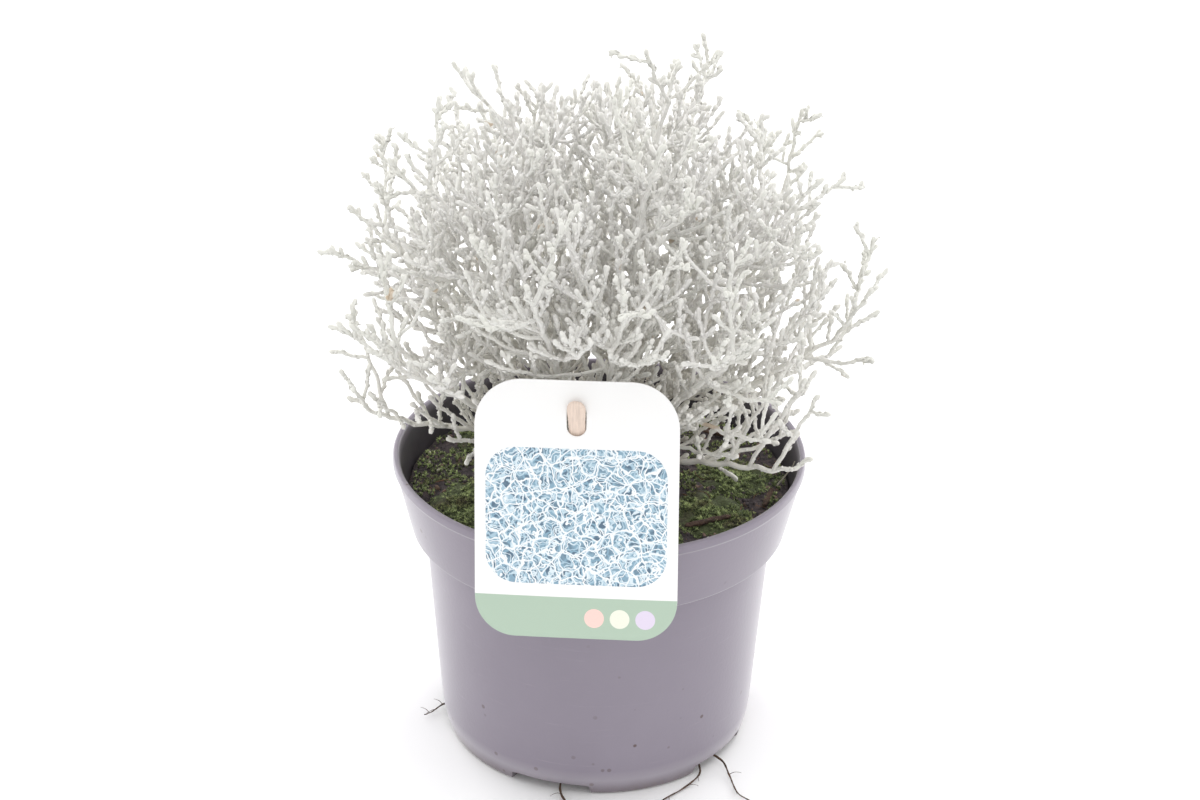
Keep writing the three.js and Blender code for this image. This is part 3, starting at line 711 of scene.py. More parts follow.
def grow_shoot(grown, parent, share, key, angle, longest, steps, reach):
    """Tries the shoot out of each side of its parent, the roomiest first, then shorter, and keeps the
    first clear one."""
    spot = spot_on(parent, share)
    for shorter in LENGTH_TRIES:
        ranked = []
        for rank, heading in shoot_headings(spot, parent.sides, angle, key):
            length = min(longest, max(way_out(spot[0], heading), TWIG_LENGTH)) * shorter
            path = shoot_path(spot[0], heading, length, steps)
            room = min(grown.room_round(path[1:], parent.bough).min(), MOST_ROOM)
            ranked.append((room + RANK_ROOM * rank, path))
        for _, path in sorted(ranked, key=lambda one: -one[0]):
            if not over_bowl(path[-1]):
                continue
            if grown.is_clear(path, SHOOT_RADIUS, parent.stem, parent.bough, reach):
                bough = grown.count
                grown.keep(path, SHOOT_RADIUS, parent.stem, bough)
                return Bough(path, SHOOT_RADIUS, parent.stem, bough, SHOOT_SIDES, parent, spot[4])
    return None


def arch(index, lift):
    """The foot of a main stem and its path: a cubic curve out to the stem's own place on the globe."""
    share = (index + 0.5) / STEM_COUNT
    azimuth = rad(FIRST_AZIMUTH_DEG) + index * GOLDEN_ANGLE + between(-0.15, 0.15, index, 1)
    out = np.array([math.cos(azimuth), math.sin(azimuth), 0])
    cosine = min(1 - (1 - LOWEST_COSINE) * share + lift, 1)
    sine = math.sqrt(1 - cosine * cosine)
    reach = GLOBE_RADIUS * between(*STEM_REACH, index, 2)
    foot = out * CROWN_RADIUS * math.sqrt(share) + UP * (SOIL_MIDDLE_Z - HOLE_DEPTH + GAP)
    free = foot * (1, 1, 0) + UP * (SOIL_MIDDLE_Z + STEM_FREE_HEIGHT)
    tip = out * reach * sine + UP * (GLOBE_Z + reach * cosine)
    span = np.linalg.norm(tip - free)
    rise = free + UP * span * ARCH_RISE + out * span * ARCH_SPREAD * sine
    last_pull = tip - unit(out * sine + UP) * span * ARCH_UPTURN
    t = np.linspace(0, 1, STEM_STEPS + 1)[:, None]
    path = ((1 - t) ** 3 * free + 3 * (1 - t) ** 2 * t * rise + 3 * (1 - t) * t ** 2 * last_pull
            + t ** 3 * tip)
    swing = np.array([-out[1], out[0], 0])
    for i in range(1, STEM_STEPS):
        path[i] += swing * between(-ARCH_SWING, ARCH_SWING, index, 3, i)
    return foot, path


def main_stem(grown, index):
    """A main stem in its hole. Where it would touch the label or another stem, it ends higher."""
    foot, path = arch(index, 0)
    for lift in range(1, LIFT_TRIES):
        if grown.is_clear(path, STEM_ROOT_RADIUS, index, -2, ARM_REACH):
            break
        foot, path = arch(index, lift * LIFT_STEP)
    bough = grown.count
    grown.keep([foot, *path], STEM_ROOT_RADIUS, index, bough)
    return Bough(path, STEM_ROOT_RADIUS, index, bough, STEM_SIDES), foot


def path_length(path):
    """The lengths of a path's straight pieces, added up."""
    return np.linalg.norm(np.diff(path, axis=0), axis=1).sum()


def grow_bush():
    """The main stems and their feet, their arms and the arms' twigs, in the solids' own order."""
    grown = Grown()
    stick_run = (STICK_ABOVE_RIM + STICK_BELOW_RIM) * math.tan(rad(STICK_LEAN_DEG))
    stick = np.array([[0, STICK_TOP_Y + stick_run, -STICK_BELOW_RIM], [0, STICK_TOP_Y, STICK_ABOVE_RIM]])
    grown.keep(from_label_place(stick), STICK_WIDTH / 2, -1, -1)
    mains, feet = zip(*(main_stem(grown, i) for i in range(STEM_COUNT)))
    arms = {}
    for k in range(ARM_COUNT):
        for i, main in enumerate(mains):
            share = blend(*ARM_SHARES, (k + between(0.1, 0.9, i, k, 5)) / ARM_COUNT)
            longest = ARM_LENGTH * between(0.8, 1.2, i, k, 6)
            angle = rad(between(*ARM_DEGREES, i, k, 7))
            arm = grow_shoot(grown, main, share, (i, k), angle, longest, 2, ARM_REACH)
            if arm:
                arms[i, k] = arm
    twigs = []
    for k in range(ARM_COUNT):
        for i in range(STEM_COUNT):
            arm = arms.get((i, k))
            spots = int(path_length(arm.path) / TWIG_SPACING + 0.5) if arm else 0
            for n in range(spots):
                share = LAST_TWIG_SHARE * (n + between(0.5, 0.95, i, k, n, 11)) / spots
                longest = TWIG_LENGTH * between(0.75, 1.25, i, k, n, 12)
                angle = rad(between(*TWIG_DEGREES, i, k, n, 13))
                twig = grow_shoot(grown, arm, share, (i, k, n), angle, longest, 1, TWIG_REACH)
                if twig:
                    twigs.append(twig)
    return grown, list(mains), feet, list(arms.values()), twigs


# Fine twigs of the looks


def inside_box(path):
    """True where a path stays inside the solids' box by a margin."""
    low, high = (np.array(corner) / MM for corner in CAD_BOX)
    return (path > low + BOX_MARGIN).all() and (path < high - BOX_MARGIN).all()


def keep_fine(grown, made, path, parent, at, bowl, reach):
    """Adds a fine shoot that is inside the box, above the bowl and clear of what has grown."""
    if not (inside_box(path) and over_bowl(path[-1], bowl)):
        return False
    if not grown.is_clear(path, FINE_RADIUS, parent.stem, parent.bough, reach, FINE_CLEARANCE):
        return False
    bough = grown.count
    grown.keep(path, FINE_RADIUS, parent.stem, bough)
    made.append(Bough(path, FINE_RADIUS, parent.stem, bough, FINE_SIDES, parent, at))
    return True


def grow_fine(grown, parents, kind, spacing, lengths, degrees, steps):
    """Short shoots along each parent, close and short near its tip, and longer and further apart
    towards its foot. Each tries several sides of its parent, and is left out where it would cross
    what has grown."""
    made = []
    for parent in parents:
        length = path_length(parent.path)
        for n in range(SPRIGS_MOST):
            key = (parent.bough, kind, n)
            from_tip = spacing * (n + between(0.55, 1.0, *key, 1) + SPRIG_STRETCH * n * n)
            if length - from_tip < SPRIG_FOOT:
                break
            spot = spot_on(parent, 1 - from_tip / length)
            longest = blend(*lengths, smooth(3, 26, from_tip)) * between(0.7, 1.3, *key, 2)
            angle = rad(between(*degrees, *key, 3))
            for _, heading in shoot_headings(spot, FINE_SIDES, angle, key)[:SPRIG_TRIES]:
                path = shoot_path(spot[0], heading, longest, steps)
                if keep_fine(grown, made, path, parent, spot[4], SPRIG_BOWL, TWIG_REACH):
                    break
    return made


def grow_sprays(grown, parents, kind, spacing, longest, room):
    """Longer fine shoots that fill what is left of the globe: from places along each parent, a shoot
    grows the way that has the most room round its outer half, where that is enough."""
    made = []
    for parent in parents:
        length = path_length(parent.path)
        for n in range(int(length / spacing + 0.3)):
            key = (parent.bough, kind, n)
            share = (n + between(0.15, 0.85, *key, 1)) * spacing / length
            spot = spot_on(parent, min(share, 0.96))
            if np.linalg.norm(spot[0] - UP * SOIL_MIDDLE_Z) < SPRAY_CROWN:
                continue
            paths = []
            for slant in (0, 1):
                angle = rad(between(*SPRAY_DEGREES, *key, 3, slant))
                for _, heading in shoot_headings(spot, FINE_SIDES, angle, (*key, slant)):
                    reach = min(longest * between(0.6, 1.2, *key, 2), max(way_out(spot[0], heading), 6))
                    paths.append(shoot_path(spot[0], heading, reach, 3))
            free = grown.room_round(np.array(paths)[:, 2:], parent.bough).min(1)
            for k in np.argsort(-free)[:SPRAY_TRIES]:
                if free[k] < room:
                    break
                if keep_fine(grown, made, paths[k], parent, spot[4], SPRAY_BOWL, SPRAY_REACH):
                    break
    return made


class Rank:
    """Boughs of one kind as arrays: their knots, what they wave by, and their radii."""

    def __init__(self, boughs, parents, rows, radii, wave, club):
        self.boughs = boughs
        self.knots = np.array([b.path for b in boughs])
        self.stem = np.array([b.stem for b in boughs])
        self.rows = rows
        self.radii = radii
        self.wave = wave
        self.club = club
        self.length = np.linalg.norm(np.diff(self.knots, axis=1), axis=2).sum(1)
        chord = unit(self.knots[:, -1] - self.knots[:, 0])
        helper = np.eye(3)[np.argmin(np.abs(chord), axis=-1)]
        self.side = unit(np.cross(chord, helper))
        self.over = np.cross(chord, self.side)
        seeds = np.array([[draw(b.bough, 31, k) for k in range(4)] for b in boughs])
        self.phase = seeds[:, :2] * 2 * math.pi
        self.period = blend(*WAVE_LENGTHS, seeds[:, 2:])
        if parents:
            self.follow(parents)

    def follow(self, parents):
        """Moves each start onto its parent's waved path, and the rest of the shoot less and less."""
        index = {id(b): (rank, k) for rank in parents for k, b in enumerate(rank.boughs)}
        fade = np.linspace(1, 0, self.knots.shape[1])[:, None]
        for k, bough in enumerate(self.boughs):
            rank, row = index[id(bough.parent)]
            share = np.array([[bough.at / (rank.knots.shape[1] - 1)]])
            start = rank.centre(share, np.array([row]))[0, 0]
            self.knots[k] += (start - self.knots[k, 0]) * fade

    def centre(self, share, rows=None):
        """Points on the middle lines at shares of their length: the smooth curve through the knots,
        and a wave to each side that grows from nothing at the foot."""
        rows = np.arange(len(self.knots)) if rows is None else rows
        at = share * (self.knots.shape[1] - 1)
        run = share * self.length[rows, None]
        points = spline(self.knots[rows], at)
        size = self.wave * smooth(0, 6, run)
        turns = 2 * math.pi * run / self.period[rows, :1] + self.phase[rows, :1]
        more = 2 * math.pi * run / self.period[rows, 1:] + self.phase[rows, 1:]
        points += (size * (np.sin(turns) - np.sin(self.phase[rows, :1])))[..., None] * self.side[rows, None]
        points += (size * (np.sin(more) - np.sin(self.phase[rows, 1:])))[..., None] * self.over[rows, None]
        return points

    def tubes_of(self, chosen):
        """Tubes of the chosen boughs, slightly thicker near the tip, which closes in a rounded end."""
        length = self.length[chosen, None]
        body = np.linspace(0, 1, self.rows) * (length - SPRIG_FOOT)
        share = np.concatenate([body, length - TIP_STEPS], 1) / length
        taper = blend(*self.radii, share)
        swell = 1 + self.club * smooth(YOUNG_LENGTH, 0, (1 - share) * length)
        close = np.concatenate([np.ones(self.rows), TIP_RADII])
        return tubes(self.centre(share, chosen), taper * swell * close, FINE_SIDES)

    def leaves_of(self, chosen, settings):
        """Scale leaves pressed to the chosen boughs, one at each step along them and each turned by the
        golden angle from the last. Old wood near the foot of a long bough has flatter ones."""
        gap = settings.leaf_spacing / MM
        first = 1.6
        counts = np.maximum(((self.length[chosen] - first - 0.5) / gap).astype(int), 1)
        rows = np.repeat(np.arange(len(chosen)), counts)
        step = np.arange(len(rows)) - np.repeat(np.cumsum(counts) - counts, counts)
        length = self.length[chosen][rows]
        run = first + step * gap
        share = (run / length)[:, None]
        which = chosen[rows]
        point = self.centre(share, which)[:, 0]
        ahead = self.centre(share + 0.01, which)[:, 0]
        along = unit(ahead - point)
        side = unit(self.side[which] - along * (self.side[which] * along).sum(1, keepdims=True))
        over = np.cross(along, side)
        turn = step * GOLDEN_ANGLE + self.phase[which, 0]
        out = side * np.cos(turn)[:, None] + over * np.sin(turn)[:, None]
        across = np.cross(along, out)
        to_tip = length - run
        youth = 1 - 0.7 * smooth(5, 20, to_tip)
        chance = draws(3 * len(rows), len(chosen), int(self.length.sum())).reshape(3, -1)
        lift = rad(settings.leaf_lift) * youth * blend(0.5, 1.5, chance[0]) + 0.5 * smooth(2.5, 0.5, to_tip)
        tilt = along * np.cos(lift)[:, None] + out * np.sin(lift)[:, None]
        face = np.cross(across, tilt)
        size = settings.leaf_length / MM * blend(0.8, 1.2, chance[1]) * blend(0.6, 1.1, youth)
        size *= 1 - 0.4 * smooth(2.5, 0.8, to_tip)
        radius = blend(*self.radii, share[:, 0]) * (1 + self.club * smooth(YOUNG_LENGTH, 0, to_tip))
        seat = point + out * (radius * 0.72)[:, None] - along * (size * 0.35)[:, None]
        width = settings.leaf_width / settings.leaf_length * blend(0.85, 1.2, chance[2])
        axes = np.stack([tilt, across * width[:, None], face * width[:, None]], 1) * size[:, None, None]
        points = seat[:, None] + np.einsum("pk,nkj->npj", LEAF_POINTS, axes)
        shift = (np.arange(len(rows)) * len(LEAF_POINTS))[:, None, None]
        tone = np.tile(LEAF_PAINTED_SHADE, (len(rows), 1)) * blend(0.75, 1, youth)[:, None]
        return points.reshape(-1, 3), [(LEAF_FACES + shift).reshape(-1, 3)], tone.ravel()


def make_bush(settings):
    """One piece for each main stem: waved tubes for all its boughs, with scale leaves on them."""
    grown, mains, feet, arms, twigs = grow_bush()
    spacing = settings.sprig_spacing / MM
    room = settings.spray_room / MM
    sprays = grow_sprays(grown, mains + arms, 51, SPRAY_SPACING, SPRAY_LENGTH, room * 1.1)
    inner = grow_sprays(grown, arms + twigs + sprays, 52, SPRAY_SPACING, INNER_SPRAY_LENGTH, room)
    long = mains + arms + twigs + sprays + inner
    sprigs = grow_fine(grown, long, 41, spacing, SPRIG_LENGTHS, SPRIG_DEGREES, 2)
    long_sprigs = [s for s in sprigs if path_length(s.path) > LONG_SPRIG]
    buds = grow_fine(grown, long_sprigs, 42, *SPRIG_BUDS, BUD_DEGREES, 1)
    outer = [b for b in long if np.linalg.norm(b.path[-1] - UP * GLOBE_Z) > BUD_SHELL * GLOBE_RADIUS]
    buds += grow_fine(grown, outer, 43, *OUTER_BUDS, BUD_DEGREES, 1)
    rooted = [Bough(np.array([foot, *main.path]), main.radius, main.stem, main.bough, 4)
              for main, foot in zip(mains, feet)]
    for whole, main in zip(rooted, mains):
        for shoot in arms + sprays + sprigs + buds:
            if shoot.parent is main:
                shoot.parent, shoot.at = whole, shoot.at + 1
    thick = settings.twig_radius / MM
    ranks = []
    kinds = (rooted, arms, twigs, sprays, inner, sprigs, buds)
    for boughs, (rows, radii, wave, club) in zip(kinds, RANK_LOOKS):
        ranks.append(Rank(boughs, ranks, rows, thick * np.array(radii), wave, club))
    wool = wool_material(settings)
    for stem in range(STEM_COUNT):
        parts, tones = [], []
        for rank in ranks:
            chosen = np.flatnonzero(rank.stem == stem)
            if not len(chosen):
                continue
            points, faces = rank.tubes_of(chosen)
            parts.append((points, faces))
            # The twig under the leaves takes tone 0, the darkest painted shade
            tones.append(np.zeros(len(points)))
            points, faces, tone = rank.leaves_of(chosen, settings)
            parts.append((points, faces))
            tones.append(tone)
        points, faces = join(parts)
        points = np.clip(points, *(np.array(corner) / MM for corner in CAD_BOX))
        name = f"bush_stem_{stem + 1:02d}"
        put_piece(f"{name}_fine", points, faces, [name], "silver_wool", wool, leaf=np.concatenate(tones))


# Pot


def inner_radius(z):
    """Inner radius of the pot's wall at a height."""
    if z > BAND_BOTTOM_Z:
        share = (z - BAND_BOTTOM_Z) / (POT_HEIGHT - BAND_BOTTOM_Z)
        return blend(BAND_RADIUS, RIM_RADIUS - LIP_ROUND, share) - WALL
    return blend(CORNER_RADIUS, BODY_RADIUS, (z - CORNER_Z) / (BAND_BOTTOM_Z - CORNER_Z)) - WALL


def slot_cutter(azimuth):
    """A wedge that opens a drain slot: in plan part of a ring, and its top falls to the ground at both
    ends as the eighth-power curve of a rounded box."""
    share = np.linspace(-1, 1, SLOT_STEPS)
    turn = azimuth + rad(SLOT_WIDTH_DEG / 2) * share
    top = SLOT_HEIGHT * (1 - np.abs(share) ** 8) ** 0.125 - 0.4 * np.abs(share) ** 8
    radii = (SLOT_INNER_RADIUS, FOOT_RADIUS + 12)
    corners = [(radii[0], -2 + 0 * top), (radii[0], top), (radii[1], top), (radii[1], -2 + 0 * top)]
    rings = np.stack([np.stack([r * np.cos(turn), r * np.sin(turn), z], -1) for r, z in corners], 1)
    faces = grid_faces(len(share), 4)
    last = 4 * (len(share) - 1)
    caps = np.array([[3, 2, 1, 0], [last, last + 1, last + 2, last + 3]])
    return rings.reshape(-1, 3), [faces, caps]


def make_pot(settings):
    """The pot: its profile turned about the upright axis, with the drain slots cut out of the foot."""
    lip_inner = RIM_RADIUS - LIP_WIDTH
    corners = [
        (0, 0, 0), (PAD_RADIUS, 0, 0.4), (PAD_RADIUS + 1, 1, 0.4), (FOOT_RING_INNER - 1, 1, 0.4),
        (FOOT_RING_INNER, 0, 0.4), (FOOT_RADIUS, 0, 1.2), (CORNER_RADIUS, CORNER_Z, 3),
        (BODY_RADIUS, BAND_BOTTOM_Z - LIP_ROUND, 0.6), (BAND_RADIUS - LIP_ROUND, BAND_BOTTOM_Z, 0.5),
        (BAND_RADIUS, BAND_BOTTOM_Z + LIP_ROUND, 0.5),
        (RIM_RADIUS - LIP_ROUND, POT_HEIGHT - LIP_HEIGHT - LIP_ROUND, 0.5),
        (RIM_RADIUS, POT_HEIGHT - LIP_HEIGHT, 0.5), (RIM_RADIUS, POT_HEIGHT - 0.4, 0.5),
        (RIM_RADIUS - 0.4, POT_HEIGHT, 0.5), (lip_inner + 0.5, POT_HEIGHT, 0.5),
        (lip_inner, POT_HEIGHT - 0.5, 0.5),
        (inner_radius(POT_HEIGHT - 2 * LIP_HEIGHT), POT_HEIGHT - 2 * LIP_HEIGHT, 2),
        (BAND_RADIUS - WALL, BAND_BOTTOM_Z + 0.6, 0.6), (BODY_RADIUS - WALL, BAND_BOTTOM_Z - 1, 0.6),
        (inner_radius(CORNER_Z), CORNER_Z, 2), (FOOT_RADIUS - WALL, FLOOR_THICKNESS, 0.6),
        (0, FLOOR_THICKNESS, 0),
    ]
    points, faces = lathe(rounded(corners), POT_TURNS)
    pot = put_piece("pot_fine", points, faces, ["pot"], "pot_plastic")
    wedges = [slot_cutter(rad(SLOT_FIRST_DEG + k * 360 / SLOT_COUNT)) for k in range(SLOT_COUNT)]
    cut_out(pot, *join(wedges))
    pot.data.set_sharp_from_angle(angle=rad(SHARP_DEG))
    pot.data.materials.append(pot_material(settings))


def cut_out(piece, points, faces):
    """Cuts a closed shape out of a piece and keeps the result as its plain mesh."""
    cutter = put_piece("cutter", points, faces)
    cut = piece.modifiers.new("cut", "BOOLEAN")
    cut.operation = "DIFFERENCE"
    cut.solver = "EXACT"
    cut.object = cutter
    made = bpy.data.meshes.new_from_object(piece.evaluated_get(bpy.context.evaluated_depsgraph_get()))
    old = piece.data
    piece.modifiers.clear()
    piece.data = made
    bpy.data.meshes.remove(old)
    bpy.data.objects.remove(cutter)


# Compost


def soil_height(radius):
    """Height of the even soil: flat in the middle, and a straight fall from there to the wall."""
    edge = inner_radius(SOIL_EDGE_Z)
    share = np.clip((radius - SOIL_FLAT_RADIUS) / (edge - SOIL_FLAT_RADIUS), 0, 1)
    return blend(SOIL_MIDDLE_Z, SOIL_EDGE_Z, share)


def soil_surface(points):
    """Height of the lumpy soil: the even fall to the wall, with noise of four sizes on it."""
    flat = points * (1, 1, 0)
    height = soil_height(np.hypot(points[..., 0], points[..., 1]))
    height += 0.8 * noise(flat, 11, 1) + 0.55 * noise(flat, 4.5, 2)
    return height + 0.35 * noise(flat, 2.0, 3) + 0.2 * noise(flat, 0.9, 4)


def rough_stone(count, *key):
    """Turned frames and sizes for many small stones."""
    chance = draws(4 * count, *key).reshape(4, -1)
    axis = np.stack([chance[0] * 2 - 1, chance[1] * 2 - 1, chance[2] * 2 - 1], -1)
    first = unit(axis)
    second = unit(np.cross(first, np.eye(3)[np.argmin(np.abs(first), -1)]))
    frames = np.stack([first, second, np.cross(first, second)], -1)
    return frames, chance[3]


def twelve_corner_stone(stretch):
    """The twelve corners and twenty faces of a regular solid, stretched."""
    gold = (1 + math.sqrt(5)) / 2
    points = [(s, t * gold, 0) for s in (-1, 1) for t in (-1, 1)]
    points = np.array(points + [(0, a, b) for a, b, _ in points] + [(b, 0, a) for a, b, _ in points])
    points = unit(points.astype(float))
    faces = [(i, j, k) for i in range(12) for j in range(i + 1, 12) for k in range(j + 1, 12)
             if max(np.linalg.norm(points[i] - points[j]), np.linalg.norm(points[j] - points[k]),
                    np.linalg.norm(points[i] - points[k])) < 1.1]
    outward = [f if np.cross(points[f[1]] - points[f[0]], points[f[2]] - points[f[0]]) @ points[f[0]] > 0
               else f[::-1] for f in faces]
    return points * stretch, np.array(outward)


def spread_on_soil(count, inner, outer, *key):
    """Places on the soil, even over the ring between two radii."""
    chance = draws(2 * count, *key).reshape(2, -1)
    radius = np.sqrt(blend(inner ** 2, outer ** 2, chance[0]))
    turn = 2 * math.pi * chance[1]
    flat = radius[:, None] * level_ways(turn)
    return flat + UP * soil_surface(flat)[:, None]


def scatter_stones(name, count, key, margins, lift, sizes, stretch, material):
    """Many small stones on the soil, each turned its own way. The sizes are the least, the most, and
    the power of chance that makes large ones rare."""
    frames, chance = rough_stone(count, key)
    places = spread_on_soil(count, margins[0], inner_radius(SOIL_EDGE_Z) - margins[1], key + 1) + UP * lift
    least, most, power = sizes
    stones = scattered(*twelve_corner_stone(stretch), places, frames, blend(least, most, chance ** power))
    put_piece(name, *stones, slot="compost", material=material)


def make_compost(settings):
    """Compost: a turned block with a lumpy top, loose crumbs, white grains and thin fibres on it."""
    edge = inner_radius(SOIL_EDGE_Z) - GAP
    top = [(r, SOIL_EDGE_Z) for r in np.linspace(edge, 0, SOIL_ROWS)[1:-1]]
    profile = [(0, FLOOR_THICKNESS + GAP), (FOOT_RADIUS - WALL - GAP, FLOOR_THICKNESS + GAP),
               (inner_radius(CORNER_Z) - GAP, CORNER_Z), (BODY_RADIUS - WALL - GAP, BAND_BOTTOM_Z - 0.4),
               (BAND_RADIUS - WALL - GAP, BAND_BOTTOM_Z + 1.2), (edge, SOIL_EDGE_Z - 1), *top,
               (0, SOIL_EDGE_Z)]
    points, faces = lathe(profile, POT_TURNS)
    raised = points[:, 2] >= SOIL_EDGE_Z - 0.01
    points[raised, 2] = soil_surface(points[raised])
    put_piece("compost_fine", points, faces, ["compost"], "compost", soil_material(settings))
    scatter_stones("compost_crumbs", settings.crumbs, 51, (4, 2), 0, (0.35, 1.5, 3), (1, 0.75, 0.6),
                   crumb_material(settings))
    scatter_stones("perlite_grains", PERLITE_GRAINS, 53, (20, 2.5), 0.4, (0.25, 0.7, 1), (1, 0.9, 0.8),
                   plain_material("perlite", (0.72, 0.68, 0.56), 0.9, 0.25, 900))
    put_piece("compost_fibres", *tubes(*fibre_paths(FIBRES, 55), 4), slot="compost",
              material=plain_material("dry_fibre", (0.2, 0.12, 0.075), 0.85, 0.5, 300))
    share = np.linspace(0, 1, 24)[None]
    stalk = spline(np.array([STRAW]), share * (len(STRAW) - 1))
    radii = 0.3 * (1 - 0.4 * share) * (0.9 + 0.2 * noise(stalk, 1.5, 56))
    put_piece("dry_straw", *tubes(stalk, radii, 7), slot="compost",
              material=plain_material("straw", (0.5, 0.46, 0.38), 0.8, 0.3, 400))


def fibre_paths(count, key):
    """Thin bits of straw and old root that lie on the soil: arcs that rise and fall a little."""
    chance = draws(6 * count, key).reshape(6, -1)
    middle = spread_on_soil(count, 16, inner_radius(SOIL_EDGE_Z) - 6, key, 1)
    ahead = level_ways(chance[0] * math.pi)
    beside = np.cross(UP, ahead)
    length = blend(3, 9, chance[1] ** 2)[:, None, None]
    t = np.linspace(-1, 1, 7)[None, :, None]
    path = middle[:, None] + ahead[:, None] * t * length / 2
    path += beside[:, None] * (t ** 2 * (chance[2] - 0.5)[:, None, None] * length * 0.5)
    ground = soil_surface(path) + 0.25 + 0.8 * chance[3][:, None] * (1 + t[..., 0]) * 0.5
    path[..., 2] = blend(ground, ground.mean(1, keepdims=True), 0.6)
    limit = inner_radius(SOIL_EDGE_Z) - 1
    flat = np.linalg.norm(path[..., :2], axis=-1, keepdims=True)
    path[..., :2] *= np.minimum(1, limit / flat)
    radii = blend(0.1, 0.24, chance[4])[:, None] * np.array([0.4, 0.9, 1, 1, 1, 0.8, 0.3])
    return path, radii


# Moss


def moss_shoots(centre, size, key, count):
    """Star-like moss shoots on a cushion: each is a ring of narrow leaves that lean out by turns.
    They stand in sunflower order, thinner towards the cushion's edge."""
    order = np.arange(count)
    share = np.sqrt((order + 0.5) / count)
    chance = draws(5 * count, 61, key).reshape(5, -1)
    radius = size * (1.3 * share ** 1.1 + 0.12 * (chance[0] - 0.5))
    turn = order * GOLDEN_ANGLE + chance[1]
    wave = 1 + 0.14 * np.sin(2 * turn + key) + 0.1 * np.sin(5 * turn + 2 * key)
    flat = centre + (radius * wave)[:, None] * level_ways(turn)
    inside = np.linalg.norm(flat[:, :2], axis=1) < inner_radius(SOIL_EDGE_Z) - 1.5
    patchy = noise(flat, 5.5, 7) + 0.5 * noise(flat, 2.2, 8) > 1.3 * share ** 3 - 0.75
    keep = np.flatnonzero(inside & patchy)
    flat, share, chance = flat[keep], share[keep], chance[:, keep]
    places = flat + UP * cushion_height(flat, centre, size, key)[:, None]
    return places, blend(0.8, 1.6, chance[2]) * blend(1.1, 0.8, share), chance[3], chance[4]


def cushion_height(flat, centre, size, key):
    """Height of a moss cushion: the soil, and a low dome with lumps that falls to nothing at its edge."""
    away = np.linalg.norm(flat - centre, axis=-1) / (1.3 * size)
    dome = np.sqrt(np.clip(1 - away ** 2, 0, 1))
    lumps = 1 + 0.5 * noise(flat, 3.5, 9 + key)
    return soil_surface(flat) + MOSS_THICKNESS * 0.55 * dome * lumps - 0.15


def moss_stars(places, sizes, spin, tint, leaves):
    """Star-like shoots, each a ring of narrow leaves that rise by turns. Gives points, faces and the
    tone of each point, darker at the foot of a leaf than at its tip."""
    slim = np.array([[0, 0.2, 0], [0, -0.2, 0], [0.45, 0, 0.14], [1, 0, 0.1]])
    faces = np.array([[0, 2, 1], [0, 3, 2], [1, 2, 3], [0, 1, 3]])
    step = np.arange(leaves)
    around = spin[:, None] * 6.28 + step * GOLDEN_ANGLE
    lift = rad(72) - rad(60) * (step % 4) / 3 + 0 * around
    out = level_ways(around)
    ahead = out * np.cos(lift)[..., None] + UP * np.sin(lift)[..., None]
    across = np.cross(UP, out)
    frames = np.stack([ahead, across, np.cross(ahead, across)], -1).reshape(-1, 3, 3)
    stars = scattered(slim, faces, np.repeat(places, leaves, 0), frames, np.repeat(sizes, leaves))
    tone = np.repeat(tint * 0.75 + 0.25, leaves * len(slim))
    # Painted shade: the foot of each leaf is darker than its tip
    return *stars, tone * np.tile([0.6, 0.6, 0.9, 1.0], leaves * len(places))


def make_loose_moss(settings, moss):
    """Single shoots on the soil between the moss patches, where two sizes of noise let them grow."""
    places = spread_on_soil(settings.loose_shoots, 14, inner_radius(SOIL_EDGE_Z) - 1.8, 62)
    flat = places * (1, 1, 0)
    grows = 0.7 * noise(flat, 7.0, 17) + 0.6 * noise(flat, 2.6, 18) > -0.18
    chance = draws(3 * settings.loose_shoots, 63).reshape(3, -1)[:, grows]
    sizes = blend(0.75, 1.4, chance[0])
    points, faces, tone = moss_stars(places[grows], sizes, chance[1], chance[2], LOOSE_LEAVES)
    put_piece("moss_loose", points, faces, slot="moss", material=moss, tint=tone)


def make_moss(settings):
    """One piece for each moss node: a lumpy cushion under a crowd of star-like shoots."""
    moss = moss_material(settings)
    for index, (degrees, radius, size) in enumerate(MOSS_PATCHES):
        centre = turn_z(rad(degrees)) @ np.array([radius, 0, 0])
        reach = min(1.25 * size, inner_radius(SOIL_EDGE_Z) - radius - 0.6)
        rows = np.linspace(0, 1, 12)[1:]
        ring = centre + reach * rows[:, None, None] * level_ways(full_turn(MOSS_COLUMNS))
        top = ring + UP * (cushion_height(ring, centre, size, index) - 0.3 * rows[:, None] ** 4)[..., None]
        foot = UP * (SOIL_EDGE_Z - 2)
        middle = centre + UP * cushion_height(centre, centre, size, index)
        cushion = closed_grid(np.concatenate([ring[-1:] + foot, top[::-1]]), centre + foot, middle)
        shoots = moss_shoots(centre, size, index, round(settings.moss_density * size * size))
        *stars, tone = moss_stars(*shoots, CUSHION_LEAVES)
        # The cushion takes the dark tone of the painted shade between the shoots
        tones = np.concatenate([np.full(len(cushion[0]), CUSHION_SHADE_TONE), tone])
        name = f"moss_{index + 1}"
        put_piece(f"{name}_fine", *join([cushion, stars]), [name], "moss", moss, tint=tones)
    make_loose_moss(settings, moss)


# Bark and roots


